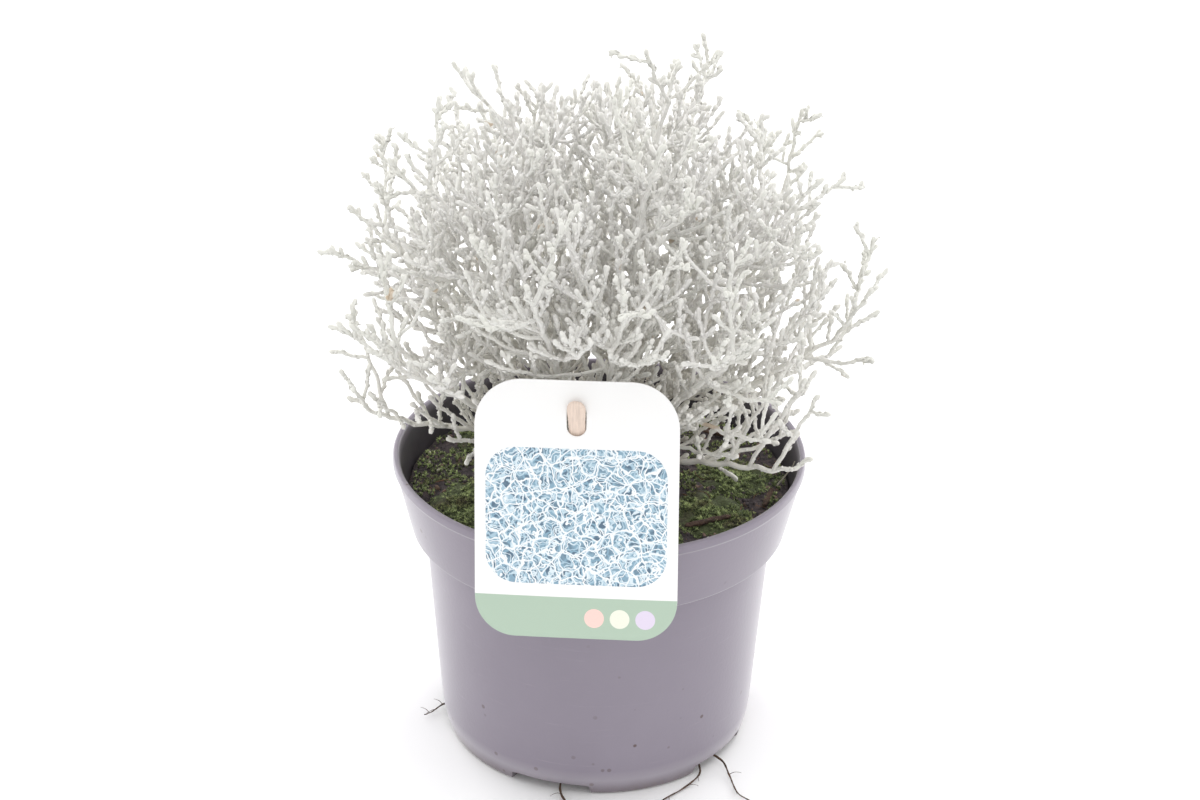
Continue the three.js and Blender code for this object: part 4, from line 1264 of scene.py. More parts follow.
def make_bark(settings):
    """Bark chips: a rounded slab that narrows to its ends, roughened by noise along its grain. One
    more lies on the moss."""
    bark = bark_material()
    for index, (degrees, radius, length, width, turned) in enumerate([*BARK_CHIPS, BARK_SLIVER]):
        a, t = np.meshgrid(np.linspace(-1, 1, BARK_ROWS), full_turn(BARK_COLUMNS), indexing="ij")
        slim = (1 - 0.35 * np.abs(a)) * np.minimum(1, 6 * (1 - np.abs(a) + 0.02)) ** 0.5
        square = superround(t, 4)
        points = np.stack([a * length / 2, np.cos(t) * square * width / 2 * slim,
                           np.sin(t) * square * BARK_THICKNESS / 2 * slim], -1)
        grain = noise(points * (0.3, 1, 1), 0.7, 11 + index) * 0.22 + noise(points, 2.2, 14 + index) * 0.2
        points[..., 1] += np.cos(t) * grain
        points[..., 2] += np.sin(t) * grain
        end = np.array([length / 2 + 0.1, 0, 0])
        points, faces = closed_grid(points, -end, end)
        slope = math.atan2(SOIL_MIDDLE_Z - SOIL_EDGE_Z, inner_radius(SOIL_EDGE_Z) - SOIL_FLAT_RADIUS)
        turn = turn_z(rad(degrees)) @ turn_y(slope) @ turn_z(rad(90 + turned))
        on_moss = index == len(BARK_CHIPS)
        lift = soil_height(radius) + BARK_THICKNESS / 2 + (0.5 * MOSS_THICKNESS if on_moss else 2 * GAP)
        points = points @ turn.T + turn_z(rad(degrees)) @ np.array([radius, 0, lift])
        name = "bark_sliver" if on_moss else f"bark_chip_{index + 1}"
        put_piece(f"{name}_fine", points, faces, [] if on_moss else [name], "bark", bark)


def make_roots(settings):
    """Root strands out of the drain slots: a thin tube along a smooth curve, with hair-thin side roots."""
    brown = plain_material("root_brown", (0.075, 0.045, 0.03), 0.8, 0.6, 500)
    for index, (slot, turned, radius, steps) in enumerate(ROOT_STRANDS):
        azimuth = rad(slot + turned)
        out = level_ways(azimuth)
        beside = np.cross(UP, out)
        knots = [out * (FOOT_RADIUS - WALL + GAP) + UP * (FLOOR_THICKNESS + 2 * GAP)]
        for away, around, z in steps:
            last = knots[-1] * (1, 1, 0) + out * away + beside * around
            knots.append(last + UP * z)
        share = np.linspace(0, 1, 40)[None]
        path = spline(np.array([knots]), share * (len(knots) - 1))
        waves = noise(path, 2.5, 21 + index)[..., None] * beside * 0.3
        radii = radius * (0.85 - 0.45 * share) * (0.85 + 0.3 * noise(path, 1.2, 31))
        parts = [tubes(path + waves * smooth(0, 0.2, share)[..., None], radii, 7)]
        for k in range(3):
            start = path[0, 10 + 8 * k]
            lean = unit(beside * (1 if k % 2 else -1) + out * 0.6 + UP * 0.15)
            t = np.linspace(0, 1, 12)[:, None]
            hair = start + lean * t * 3.2 + out * t ** 2 * 1.2 + UP * 0.5 * np.sin(3 * t)
            hair[:, 2] = np.maximum(hair[:, 2], 0.25)
            parts.append(tubes(hair[None], 0.13 * (1 - 0.6 * t[None, :, 0]), 5))
        name = f"root_strand_{index + 1}"
        put_piece(f"{name}_fine", *join(parts), [name], "root", brown)


# Label


def outline(half_width, low, high, low_corner, top_corner):
    """Points round a card with rounded corners, evenly spaced on its straight sides and its arcs."""
    made = []
    for x, z, corner, first in ((1, low, low_corner, -90), (1, high, top_corner, 0),
                                (-1, high, top_corner, 90), (-1, low, low_corner, 180)):
        middle = np.array([x * (half_width - corner), z + (corner if z == low else -corner)])
        turn = np.radians(first + np.linspace(0, 90, 19))
        made.append(middle + corner * np.stack([np.cos(turn), np.sin(turn)], -1))
    closed = np.concatenate([*made, made[0][:1]])
    run = np.concatenate([[0], np.cumsum(np.linalg.norm(np.diff(closed, axis=0), axis=1))])
    at = np.linspace(0, run[-1], 289)[:-1]
    return np.stack([np.interp(at, run, closed[:, 0]), np.interp(at, run, closed[:, 1])], -1)


def eye_outline(directions, half_width, half_height):
    """Where rays from the middle of the eye cross it: its straight sides, or its round ends."""
    x, z = directions[:, 0], directions[:, 1]
    straight = half_height - half_width
    side = half_width / np.maximum(np.abs(x), 1e-9)
    end = np.abs(z) * straight + np.sqrt(np.maximum((z * straight) ** 2 - straight ** 2 + half_width ** 2, 0))
    reach = np.where(side * np.abs(z) <= straight, side, end)
    return directions * reach[:, None]


def make_label(settings):
    """The card: rows of points from the edge of its eye to its outline, on both sides, with rounded
    edges, gently bent across its width. Its print follows a map in which one unit is the card."""
    middle = np.array([0, (EYE_BOTTOM + EYE_TOP) / 2])
    outer = outline(LABEL_WIDTH / 2, -LABEL_BELOW_RIM, LABEL_ABOVE_RIM, LABEL_FOOT_CORNER, LABEL_TOP_CORNER)
    hole = middle + eye_outline(unit(outer - middle), EYE_WIDTH / 2, (EYE_TOP - EYE_BOTTOM) / 2)
    half = LABEL_THICKNESS / 2
    front = [(0, -0.5), (0.15, -1), *((t, -1) for t in np.linspace(0.6, 39, 11)), (39.85, -1), (40, -0.5)]
    rows = []
    for step, level in front + [(t, -side) for t, side in reversed(front)]:
        flat = blend(hole, outer, step / 40)
        bend = settings.label_bend / MM * (1 - (flat[:, 0] / (LABEL_WIDTH / 2)) ** 2)
        rows.append(np.stack([flat[:, 0], -half + level * half - bend, flat[:, 1]], -1))
    local = np.array(rows)
    count, columns = local.shape[:2]
    faces = grid_faces(count + 1, columns) % (count * columns)
    points = local.reshape(-1, 3) @ turn_x(rad(-LABEL_LEAN_DEG)).T + (0, -RIM_RADIUS - GAP, -LIP_ROUND)
    card = put_piece("label_card_fine", from_label_place(points), [faces], ["label_card"], "label_card",
                     card_material(settings))
    card.data.set_sharp_from_angle(angle=rad(SHARP_DEG))
    flat = local.reshape(-1, 3)
    height = LABEL_ABOVE_RIM + LABEL_BELOW_RIM
    spread = np.stack([flat[:, 0] / LABEL_WIDTH + 0.5, (flat[:, 2] + LABEL_BELOW_RIM) / height], -1)
    on_front = (flat[:, 1] < -half)[faces].all(1)
    corners = np.where(np.repeat(on_front, 4)[:, None], spread[faces.ravel()], -1.0)
    print_map = card.data.uv_layers.new(name="print")
    print_map.data.foreach_set("uv", corners.astype(np.float32).ravel())
    make_stick(settings)


def make_stick(settings):
    """The label's stick: a flat bar with rounded edges, from its foot to a worn, rounded tip."""
    length = (STICK_ABOVE_RIM + STICK_BELOW_RIM) / math.cos(rad(STICK_LEAN_DEG))
    tip = STICK_WIDTH / 2
    run = np.concatenate([np.linspace(-length, -tip, 60), -tip + tip * np.sin(np.linspace(0.1, 1.5, 14))])
    half = np.where(run < -tip, tip, np.sqrt(np.maximum(tip ** 2 - (run + tip) ** 2, 0)))
    half *= 1 - 0.12 * smooth(-3, -6, run) * smooth(-14, -9, run)
    around = full_turn(28)
    square = superround(around, 5)
    x = half[:, None] * np.cos(around) * square
    y = STICK_THICKNESS / 2 * np.sin(around) * square * np.minimum(1, half / tip * 1.6)[:, None]
    points = np.stack([x, y, np.repeat(run[:, None], 28, 1)], -1)
    edge = points * (0, 0, 1) + (np.sign(x) * 3)[..., None] * (1, 0, 0)
    points[..., 0] += 0.18 * noise(edge, 3.0, 41) * (half > 1)[:, None]
    points[..., 1] += 0.05 * noise(points * (2, 1, 0.3), 0.8, 42)
    points, faces = closed_grid(points, -UP * length, UP * (run[-1] + 0.01))
    local = points @ turn_x(rad(STICK_LEAN_DEG)).T + (0, STICK_TOP_Y, STICK_ABOVE_RIM)
    put_piece("label_stick_fine", from_label_place(local), faces, ["label_stick"], "label_stick",
              stick_material(settings))


# Materials


def node(tree, kind, inputs=None, **settings):
    """Adds a node. Inputs are values, or the outputs of other nodes that are linked to them."""
    made = tree.nodes.new(kind)
    for key, value in settings.items():
        setattr(made, key, value)
    for key, value in (inputs or {}).items():
        if isinstance(value, bpy.types.NodeSocket):
            tree.links.new(value, made.inputs[key])
        else:
            made.inputs[key].default_value = value
    return made


def new_material(name, roughness, specular=0.5, **sockets):
    """A material with one shader. Gives the material, its tree, its shader and object coordinates."""
    material = bpy.data.materials.new(name)
    material.use_nodes = True
    tree = material.node_tree
    shader = tree.nodes["Principled BSDF"]
    shader.inputs["Roughness"].default_value = roughness
    shader.inputs["Specular IOR Level"].default_value = specular
    for key, value in sockets.items():
        shader.inputs[key.replace("_", " ").title()].default_value = value
    place = node(tree, "ShaderNodeTexCoord").outputs["Object"]
    return material, tree, shader, place


def shade(colour, *times):
    """A colour made darker or lighter, by one number or by one for each of red, green and blue."""
    return tuple(min(c * t, 1) for c, t in zip(colour, times if len(times) == 3 else times * 3))


def wavy(tree, place, scale, detail=3.0, roughness=0.55):
    """Noise from 0 to 1, whose scale is a number of waves to the metre."""
    made = node(tree, "ShaderNodeTexNoise", {"Vector": place, "Scale": scale, "Detail": detail,
                                             "Roughness": roughness})
    return made.outputs["Fac"]


def ramp(tree, value, *stops):
    """A colour or grey for a value, by stops of (position, colour)."""
    made = node(tree, "ShaderNodeValToRGB", {"Fac": value})
    points = made.color_ramp.elements
    while len(points) < len(stops):
        points.new(0.5)
    for point, (position, colour) in zip(points, stops):
        point.position = position
        point.color = (*colour, 1) if isinstance(colour, tuple) else (colour, colour, colour, 1)
    return made.outputs["Color"]


def mixed(tree, share, low, high):
    """A colour that lies a share of the way from low to high, each a colour or a node's output."""
    made = node(tree, "ShaderNodeMix", {0: share}, data_type="RGBA")
    for index, value in ((6, low), (7, high)):
        if isinstance(value, bpy.types.NodeSocket):
            tree.links.new(value, made.inputs[index])
        else:
            made.inputs[index].default_value = (*value, 1)
    return made.outputs[2]


def maths(tree, operation, *values):
    """One sum of numbers or of nodes' outputs."""
    return node(tree, "ShaderNodeMath", dict(enumerate(values)), operation=operation).outputs[0]


def vector_maths(tree, operation, *values):
    """One sum of vectors or of nodes' outputs."""
    made = node(tree, "ShaderNodeVectorMath", dict(enumerate(values)), operation=operation)
    return made.outputs["Value" if operation in ("DISTANCE", "DOT_PRODUCT", "LENGTH") else "Vector"]


def finished(material, shader, base, height, distance, strength):
    """The material with its colour, and with bumps of a height in metres, linked to its shader."""
    tree = material.node_tree
    bump = node(tree, "ShaderNodeBump", {"Height": height, "Distance": distance, "Strength": strength})
    tree.links.new(base, shader.inputs["Base Color"])
    tree.links.new(bump.outputs["Normal"], shader.inputs["Normal"])
    return material


def plain_material(name, colour, roughness, vary, scale):
    """One colour that varies between darker and lighter by noise, with a fine bump."""
    material, tree, shader, place = new_material(name, roughness, 0.3)
    dark, light = shade(colour, 1 - vary), shade(colour, 1 + vary)
    base = ramp(tree, wavy(tree, place, scale), (0.3, dark), (0.7, light))
    return finished(material, shader, base, wavy(tree, place, 4 * scale), 0.0002, 0.5)


def wool_material(settings):
    """Silver felt: paler on the leaf tips, grey between them, grey-green on the outermost ends, and
    brown on old wood near the crown."""
    material, tree, shader, place = new_material("silver_wool", 0.92, 0.15, sheen_weight=0.25,
                                                 sheen_roughness=0.6)
    leaf = node(tree, "ShaderNodeAttribute", attribute_name="leaf").outputs["Fac"]
    silver, grey, green = tuple(settings.wool_colour), tuple(settings.wool_shade), tuple(settings.wool_green)
    # Painted shade: grey where the leaf tone is low, between the leaves and at their feet, silver on the tips
    base = mixed(tree, ramp(tree, leaf, (0.0, 0.0), (0.8, 1.0)), grey, silver)
    base = mixed(tree, ramp(tree, wavy(tree, place, 45, 2), (0.4, 0.0), (0.62, 0.55)), base, green)
    pale = ramp(tree, wavy(tree, place, 420, 3), (0.35, 0.0), (0.65, 0.35))
    base = mixed(tree, pale, base, (0.93, 0.92, 0.9))
    from_globe = vector_maths(tree, "DISTANCE", place, (0, 0, GLOBE_Z * MM))
    base = mixed(tree, ramp(tree, from_globe, (0.064, 0.0), (0.084, 0.7)), base, shade(green, 0.93))
    from_crown = vector_maths(tree, "DISTANCE", place, (0, 0, SOIL_MIDDLE_Z * MM))
    # Painted shade in the depth of the bush round the crown: the twigs there are made darker and browner
    painted_depth_shade = mixed(tree, wavy(tree, place, 60, 2), (0.68, 0.66, 0.58), (0.58, 0.54, 0.46))
    base = mixed(tree, ramp(tree, from_crown, (0.03, 0.6), (0.1, 0.0)), base, painted_depth_shade)
    wood = mixed(tree, wavy(tree, place, 300), tuple(settings.wood_colour), grey)
    base = mixed(tree, ramp(tree, from_crown, (0.016, 0.95), (0.05, 0.0)), base, wood)
    dead = ramp(tree, wavy(tree, place, 75, 1), (0.765, 0.0), (0.785, 0.7))
    base = mixed(tree, dead, base, (0.5, 0.36, 0.22))
    return finished(material, shader, base, wavy(tree, place, 1600, 2), 0.0002, 0.6)


def pot_material(settings):
    """Grey-mauve moulded plastic: faint clouds and dust, scuffs, specks of dirt, and soil at the foot."""
    material, tree, shader, place = new_material("pot_plastic", 0.42, 0.45, sheen_roughness=0.35)
    colour = tuple(settings.pot_colour)
    dusty = tuple(min(c * 1.08 + 0.008, 1) for c in colour)
    base = mixed(tree, ramp(tree, wavy(tree, place, 14, 5, 0.6), (0.35, 0.0), (0.7, 0.8)), colour, dusty)
    long = node(tree, "ShaderNodeMapping", {"Vector": place, "Scale": (9, 9, 260)}).outputs["Vector"]
    scuff = ramp(tree, wavy(tree, long, 5, 4, 0.7), (0.63, 0.0), (0.74, 0.3))
    base = mixed(tree, scuff, base, tuple(min(c * 1.5 + 0.03, 1) for c in colour))
    dots = node(tree, "ShaderNodeTexVoronoi", {"Vector": place, "Scale": 160.0}).outputs["Distance"]
    few = ramp(tree, wavy(tree, place, 26, 2), (0.52, 0.0), (0.68, 1.0))
    height = node(tree, "ShaderNodeSeparateXYZ", {0: place}).outputs["Z"]
    few = maths(tree, "MAXIMUM", few, ramp(tree, height, (0.004, 0.8), (0.022, 0.0)))
    speck = maths(tree, "MULTIPLY", ramp(tree, dots, (0.09, 0.9), (0.14, 0.0)), few)
    base = mixed(tree, speck, base, (0.085, 0.042, 0.035))
    low = ramp(tree, maths(tree, "ADD", height, maths(tree, "MULTIPLY", wavy(tree, place, 160, 4), 0.004)),
               (0.0015, 0.75), (0.0062, 0.0))
    base = mixed(tree, low, base, (0.12, 0.085, 0.07))
    # Painted shade on the inner wall: faces that look in towards the axis, below the lip, turn nearly black
    flat = vector_maths(tree, "MULTIPLY", place, (1, 1, 0))
    facing = node(tree, "ShaderNodeTexCoord").outputs["Normal"]
    away = vector_maths(tree, "DOT_PRODUCT", flat, facing)
    inside = maths(tree, "MULTIPLY", maths(tree, "LESS_THAN", away, -0.01),
                   ramp(tree, height, (0.0935, 1.0), (0.096, 0.0)))
    veil = maths(tree, "MULTIPLY", maths(tree, "SUBTRACT", 1.0, inside), 0.5)
    tree.links.new(veil, shader.inputs["Sheen Weight"])
    # Painted highlight: a thin pale line along the mould line
    off_line = maths(tree, "ABSOLUTE", maths(tree, "SUBTRACT", height, MOULD_LINE_Z * MM))
    base = mixed(tree, ramp(tree, off_line, (0.0001, 0.4), (0.0003, 0.0)), base, (0.45, 0.42, 0.46))
    inner_wall_shade = mixed(tree, wavy(tree, place, 130, 4), (0.028, 0.025, 0.027), shade(colour, 0.3))
    base = mixed(tree, inside, base, inner_wall_shade)
    return finished(material, shader, base, wavy(tree, place, 900, 3), 0.00012, 0.35)


def soil_material(settings):
    """Moist peat, from nearly black in its pits to reddish brown on its lumps."""
    material, tree, shader, place = new_material("compost_soil", 0.9, 0.25)
    c = tuple(settings.soil_colour)
    base = ramp(tree, wavy(tree, place, 420, 5, 0.65), (0.32, shade(c, 0.35)), (0.55, c),
                (0.78, shade(c, 2.4, 1.9, 1.5)))
    return finished(material, shader, base, wavy(tree, place, 1100, 4), 0.0006, 0.9)


def crumb_material(settings):
    """Crumbs of peat and bark, each in its own shade by the cell that it lies in."""
    material, tree, shader, place = new_material("compost_crumb", 0.85, 0.3)
    cells = node(tree, "ShaderNodeTexVoronoi", {"Vector": place, "Scale": 520.0}).outputs["Color"]
    value = node(tree, "ShaderNodeSeparateColor", {0: cells}).outputs[0]
    c = tuple(settings.soil_colour)
    base = ramp(tree, value, (0.1, shade(c, 0.5)), (0.6, shade(c, 1.3)), (0.85, shade(c, 2.8, 2.3, 1.8)),
                (0.97, (0.2, 0.14, 0.1)))
    return finished(material, shader, base, wavy(tree, place, 2200, 3), 0.0003, 0.8)


def moss_material(settings):
    """Moss from nearly black between the shoots to fresh yellow-green at the tips of the best ones."""
    material, tree, shader, place = new_material("moss_green", 0.8, 0.25)
    tint = node(tree, "ShaderNodeAttribute", attribute_name="tint").outputs["Fac"]
    tint = maths(tree, "MULTIPLY", tint, ramp(tree, wavy(tree, place, 1100, 3), (0.36, 0.35), (0.62, 1.5)))
    c = tuple(settings.moss_colour)
    fresh = ramp(tree, tint, (0.0, shade(c, 0.08)), (0.3, shade(c, 0.4)), (0.65, c),
                 (1.0, shade(c, 2.1, 2.0, 1.9)))
    dull = ramp(tree, tint, (0.0, (0.03, 0.026, 0.028)), (1.0, (0.33, 0.28, 0.15)))
    dry = ramp(tree, wavy(tree, place, 120, 3), (0.54, 0.0), (0.7, 0.8))
    base = mixed(tree, dry, fresh, dull)
    return finished(material, shader, base, wavy(tree, place, 1500, 3), 0.0003, 0.6)


def bark_material():
    """Brown bark, dark in its cracks."""
    material, tree, shader, place = new_material("bark_brown", 0.85, 0.3)
    base = ramp(tree, wavy(tree, place, 500, 5, 0.7), (0.35, (0.03, 0.019, 0.015)),
                (0.6, (0.12, 0.075, 0.055)), (0.8, (0.26, 0.18, 0.13)))
    return finished(material, shader, base, wavy(tree, place, 1300, 4), 0.0005, 0.9)


def stick_material(settings):
    """Plain pale wood: fine grain drawn out along the stick."""
    material, tree, shader, place = new_material("stick_wood", 0.62, 0.3)
    c = tuple(settings.stick_colour)
    long = node(tree, "ShaderNodeMapping", {"Vector": place, "Scale": (1, 1, 0.05)}).outputs["Vector"]
    grain = wavy(tree, long, 1500, 4, 0.6)
    base = ramp(tree, grain, (0.35, shade(c, 0.84)), (0.6, c), (0.8, shade(c, 1.12)))
    spots = ramp(tree, wavy(tree, place, 330, 2), (0.62, 0.0), (0.72, 0.3))
    return finished(material, shader, mixed(tree, spots, base, shade(c, 0.7)), grain, 0.00015, 0.6)


class Print:
    """The print on the card, in millimetres on the card, up from its foot and out from its middle."""

    def __init__(self, tree):
        self.tree = tree
        height = LABEL_ABOVE_RIM + LABEL_BELOW_RIM
        uv = node(tree, "ShaderNodeUVMap", uv_map="print").outputs["UV"]
        self.at = node(tree, "ShaderNodeMapping", {"Vector": uv, "Location": (-LABEL_WIDTH / 2, 0, 0),
                                                   "Scale": (LABEL_WIDTH, height, 0)}).outputs["Vector"]

    def box(self, middle, half, corner):
        """1 inside a box with round corners: where the distance from a smaller box is under the corner."""
        tree = self.tree
        away = vector_maths(tree, "ABSOLUTE", vector_maths(tree, "SUBTRACT", self.at, (*middle, 0)))
        past = vector_maths(tree, "SUBTRACT", away, (half[0] - corner, half[1] - corner, 0))
        reach = vector_maths(tree, "LENGTH", vector_maths(tree, "MAXIMUM", past, (0, 0, 0)))
        return maths(tree, "LESS_THAN", reach, corner)

    def threads(self, scale, wide, warp):
        """Crossing straight threads: the edges of random cells, each layer in its own slant."""
        tree = self.tree
        bent = node(tree, "ShaderNodeTexNoise", {"Vector": self.at, "Scale": 0.25, "Detail": 2.0})
        shift = vector_maths(tree, "MULTIPLY", bent.outputs["Color"], (warp, warp, 0))
        moved = vector_maths(tree, "ADD", self.at, shift)
        slanted = node(tree, "ShaderNodeMapping", {"Vector": moved, "Rotation": (0, 0, 7 * scale)})
        cells = node(tree, "ShaderNodeTexVoronoi", {"Vector": slanted.outputs["Vector"], "Scale": scale},
                     feature="DISTANCE_TO_EDGE", voronoi_dimensions="2D")
        away = maths(tree, "DIVIDE", cells.outputs["Distance"], scale)
        return ramp(tree, away, (wide * 0.6, 1.0), (wide, 0.0))


def card_material(settings):
    """White card, with a pale blue field of crossing threads over a green band with three dots."""
    material, tree, shader, _ = new_material("label_card", 0.38, 0.5)
    card = Print(tree)
    deep = ramp(tree, wavy(tree, card.at, 0.22, 3), (0.42, (0.06, 0.12, 0.19)), (0.6, (0.22, 0.36, 0.47)))
    field = mixed(tree, 0.08, deep, (0.52, 0.66, 0.76))
    for scale, wide, warp, tone in PRINT_THREADS:
        field = mixed(tree, card.threads(scale, wide, warp), field, tone)
    base = mixed(tree, card.box(*PRINT_FIELD), tuple(settings.card_colour), field)
    base = mixed(tree, card.box(*PRINT_BAND), base, tuple(settings.band_colour))
    for x, tone in PRINT_DOTS:
        base = mixed(tree, card.box((x, 6.4), (DOT_RADIUS, DOT_RADIUS), DOT_RADIUS), base, tone)
    return finished(material, shader, base, wavy(tree, card.at, 6, 2), 0.00004, 0.2)


# Stage


def make_stage(settings):
    """A plain pale floor, a white room, soft light from both sides, and the camera."""
    scene = bpy.context.scene
    mesh = bpy.data.meshes.new("floor")
    corners = [(x * FLOOR_SIDE, y * FLOOR_SIDE, 0) for x, y in ((-1, -1), (1, -1), (1, 1), (-1, 1))]
    mesh.from_pydata(corners, [], [(0, 1, 2, 3)])
    floor = bpy.data.objects.new("floor", mesh)
    scene.collection.objects.link(floor)
    material, _, shader, _ = new_material("floor_white", 0.7, 0.2)
    shader.inputs["Base Color"].default_value = (*settings.floor_colour, 1)
    mesh.materials.append(material)
    world = bpy.data.worlds.new("white_room")
    world.use_nodes = True
    world.node_tree.nodes["Background"].inputs["Color"].default_value = (1, 1, 1, 1)
    world.node_tree.nodes["Background"].inputs["Strength"].default_value = settings.room_light
    scene.world = world
    for name, place, width, power in LAMPS:
        light = bpy.data.lights.new(name, "AREA")
        light.size = width
        light.energy = getattr(settings, power)
        lamp = bpy.data.objects.new(name, light)
        scene.collection.objects.link(lamp)
        lamp.location = place
        lamp.visible_camera = False
        lamp.rotation_euler = (Vector(LIGHT_AIM) - lamp.location).to_track_quat("-Z", "Y").to_euler()
    scene.view_settings.view_transform = "Standard"
    scene.view_settings.look = "None"
    place_camera(settings)


def place_camera(settings):
    """The camera looks down at the middle of the rim, which stands a little under the picture's
    middle, and is turned a little about its own line of sight."""
    scene = bpy.context.scene
    focus = settings.camera_lens * IMAGE_WIDTH / SENSOR_WIDTH
    elevation = rad(settings.camera_elevation)
    rim = Vector((0, 0, POT_HEIGHT * MM))
    back = Vector((0, -math.cos(elevation), math.sin(elevation)))
    tilt = math.atan(settings.rim_drop / focus)
    look = Matrix.Rotation(tilt, 3, "X") @ -back
    camera = bpy.data.objects.new("camera", bpy.data.cameras.new("camera"))
    camera.data.lens = settings.camera_lens
    camera.data.sensor_width = SENSOR_WIDTH
    camera.data.clip_start = 0.05
    camera.location = rim + back * settings.camera_distance
    turned = look.to_track_quat("-Z", "Y").to_matrix() @ Matrix.Rotation(rad(settings.camera_roll), 3, "Z")
    camera.rotation_euler = turned.to_euler()
    scene.collection.objects.link(camera)
    scene.camera = camera


# Settings, operators and panel


def size(name, default, text):
    """A length in metres."""
    return FloatProperty(name=name, description=text, default=default, min=0.0, unit="LENGTH",
                         subtype="DISTANCE", precision=5)


def colour(name, default, text):
    """A colour in linear red, green and blue."""
    return FloatVectorProperty(name=name, description=text, default=default, size=3, min=0.0, max=1.0,
                               subtype="COLOR")


def number(name, default, text, **limits):
    """A plain number, with its limits if it has any."""
    return FloatProperty(name=name, description=text, default=default, precision=3, **limits)


def count(name, default, text):
    """A whole number of things."""
    return IntProperty(name=name, description=text, default=default, min=1)


class BushSettings(bpy.types.PropertyGroup):
    """Sizes and colours of the bush."""

    twig_radius: size("Twig radius", 0.00056, "Radius of a young twig under its scale leaves")
    sprig_spacing: size("Sprig spacing", 0.0046, "Distance between short side twigs near a tip")
    spray_room: size("Spray room", 0.0050, "Least room in which one more long side shoot grows")
    leaf_length: size("Leaf length", 0.0019, "Length of a scale leaf")
    leaf_width: size("Leaf width", 0.00115, "Width of a scale leaf")
    leaf_spacing: size("Leaf spacing", 0.0012, "Distance along a twig between scale leaves")
    leaf_lift: number("Leaf lift", 11.0, "How far leaves stand off the twig, in degrees", min=0.0, max=60.0)
    wool_colour: colour("Silver", (0.9, 0.89, 0.875), "Pale felt on the leaf tips")
    # Painted shade: this grey stands for the shade on the twig between the leaves and at each leaf's foot
    wool_shade: colour("Silver shade", (0.73, 0.715, 0.69), "Felt on the twig between the leaves")
    wool_green: colour("Green cast", (0.79, 0.79, 0.73), "Cast of the younger parts")
    wood_colour: colour("Old wood", (0.4, 0.34, 0.28), "Bare wood near the crown")


class PotSettings(bpy.types.PropertyGroup):
    """Colour of the pot."""

    pot_colour: colour("Plastic", (0.247, 0.219, 0.268), "Grey-mauve of the plastic")


class SoilSettings(bpy.types.PropertyGroup):
    """Compost, its crumbs and its moss."""

    crumbs: count("Crumbs", 1800, "Loose crumbs on the compost")
    soil_colour: colour("Compost", (0.088, 0.074, 0.078), "Moist peat compost")
    moss_colour: colour("Moss", (0.35, 0.425, 0.2), "Middle green of the moss")
    loose_shoots: count("Loose shoots", 7700, "Moss shoots tried between patches")
    moss_density: number("Moss density", 7.2, "Moss shoots for each square of a patch's size in mm", min=0.1)


class LabelSettings(bpy.types.PropertyGroup):
    """The card label and its stick."""

    label_bend: size("Card bend", 0.0005, "How far the card's middle stands forward of its sides")
    card_colour: colour("Card", (0.93, 0.925, 0.92), "White of the card")
    band_colour: colour("Band", (0.45, 0.57, 0.46), "Green of the printed band")
    stick_colour: colour("Stick", (0.84, 0.69, 0.59), "Pale wood of the stick")


class StageSettings(bpy.types.PropertyGroup):
    """Floor, light and camera."""

    floor_colour: colour("Floor", (0.96, 0.96, 0.96), "Plain pale floor")
    room_light: number("Room light", 0.95, "Strength of the white room", min=0.0)
    side_light: number("Side lights", 6.0, "Power of each side light in watts", min=0.0)
    top_light: number("Top light", 3.4, "Power of the top light in watts", min=0.0)
    camera_lens: number("Lens", 76.53, "Focal length in mm on a 36 mm sensor", min=10.0)
    camera_distance: size("Camera distance", 0.8, "From the middle of the rim")
    camera_elevation: number("Camera elevation", 28.2, "Degrees above the horizon, seen from the rim")
    camera_roll: number("Camera roll", 0.8, "Degrees about the line of sight")
    rim_drop: number("Rim drop", 48.5, "Pixels from the picture's middle down to the middle of the rim")


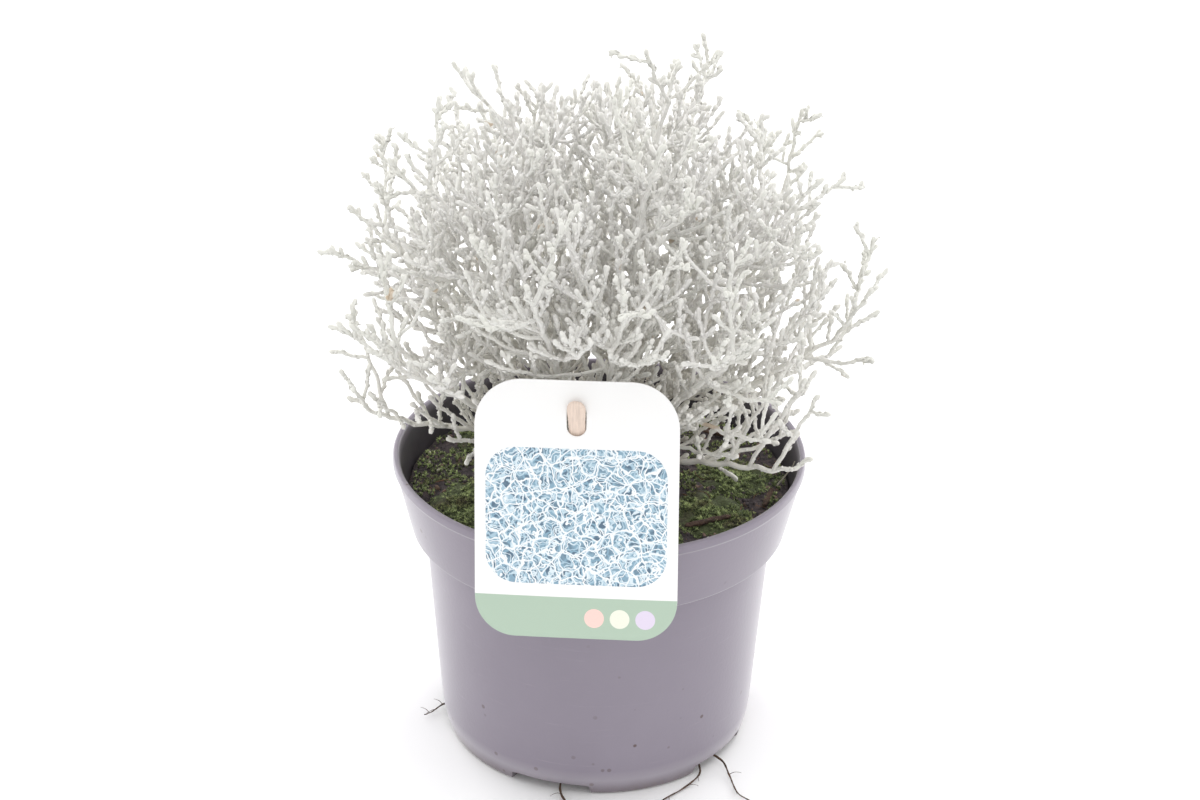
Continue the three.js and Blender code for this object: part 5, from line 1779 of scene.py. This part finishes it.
def operator(action, label, group, text):
    """An operator class that makes one piece or group of pieces from the settings of its group."""

    def execute(self, context):
        action(getattr(context.scene.cushion_bush, group))
        return {"FINISHED"}

    name = action.__name__
    fields = {"bl_idname": f"cushion_bush.{name}", "bl_label": label, "__doc__": text, "execute": execute}
    return type(f"CUSHION_BUSH_OT_{name}", (bpy.types.Operator,), fields)


OPERATORS = [
    operator(make_pot, "Make pot", "pot", "Makes the nursery pot with its drain slots"),
    operator(make_compost, "Make compost", "soil", "Makes the compost with its crumbs, grains and fibres"),
    operator(make_moss, "Make moss", "soil", "Makes the moss on the compost"),
    operator(make_bark, "Make bark", "soil", "Makes the bark chips on the compost"),
    operator(make_roots, "Make roots", "soil", "Makes the roots out of the drain slots"),
    operator(make_bush, "Make bush", "bush", "Grows the silver bush, one piece for each main stem"),
    operator(make_label, "Make label", "label", "Makes the card label and its stick"),
    operator(make_stage, "Make stage", "stage", "Makes the floor, the light and the camera"),
]


class CushionBushSettings(bpy.types.PropertyGroup):
    """The settings of all the operators."""

    bush: PointerProperty(type=BushSettings)
    pot: PointerProperty(type=PotSettings)
    soil: PointerProperty(type=SoilSettings)
    label: PointerProperty(type=LabelSettings)
    stage: PointerProperty(type=StageSettings)


class CUSHION_BUSH_PT_panel(bpy.types.Panel):
    """Lists the operators that make the cushion bush."""

    bl_label = "Cushion bush"
    bl_space_type = "VIEW_3D"
    bl_region_type = "UI"
    bl_category = "Cushion bush"

    def draw(self, context):
        for each in OPERATORS:
            self.layout.operator(each.bl_idname)


CLASSES = [BushSettings, PotSettings, SoilSettings, LabelSettings, StageSettings, CushionBushSettings,
           *OPERATORS, CUSHION_BUSH_PT_panel]


def register():
    """Adds the classes and the settings to Blender."""
    for each in CLASSES:
        bpy.utils.register_class(each)
    bpy.types.Scene.cushion_bush = PointerProperty(type=CushionBushSettings)


def unregister():
    """Takes the settings and the classes out of Blender."""
    del bpy.types.Scene.cushion_bush
    for each in reversed(CLASSES):
        bpy.utils.unregister_class(each)


def main():
    """Runs the operators in order, and writes the solids' box and the visual model's box."""
    register()
    for each in OPERATORS:
        module, name = each.bl_idname.split(".")
        getattr(getattr(bpy.ops, module), name)()
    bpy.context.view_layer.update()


if __name__ == "__main__":
    main()
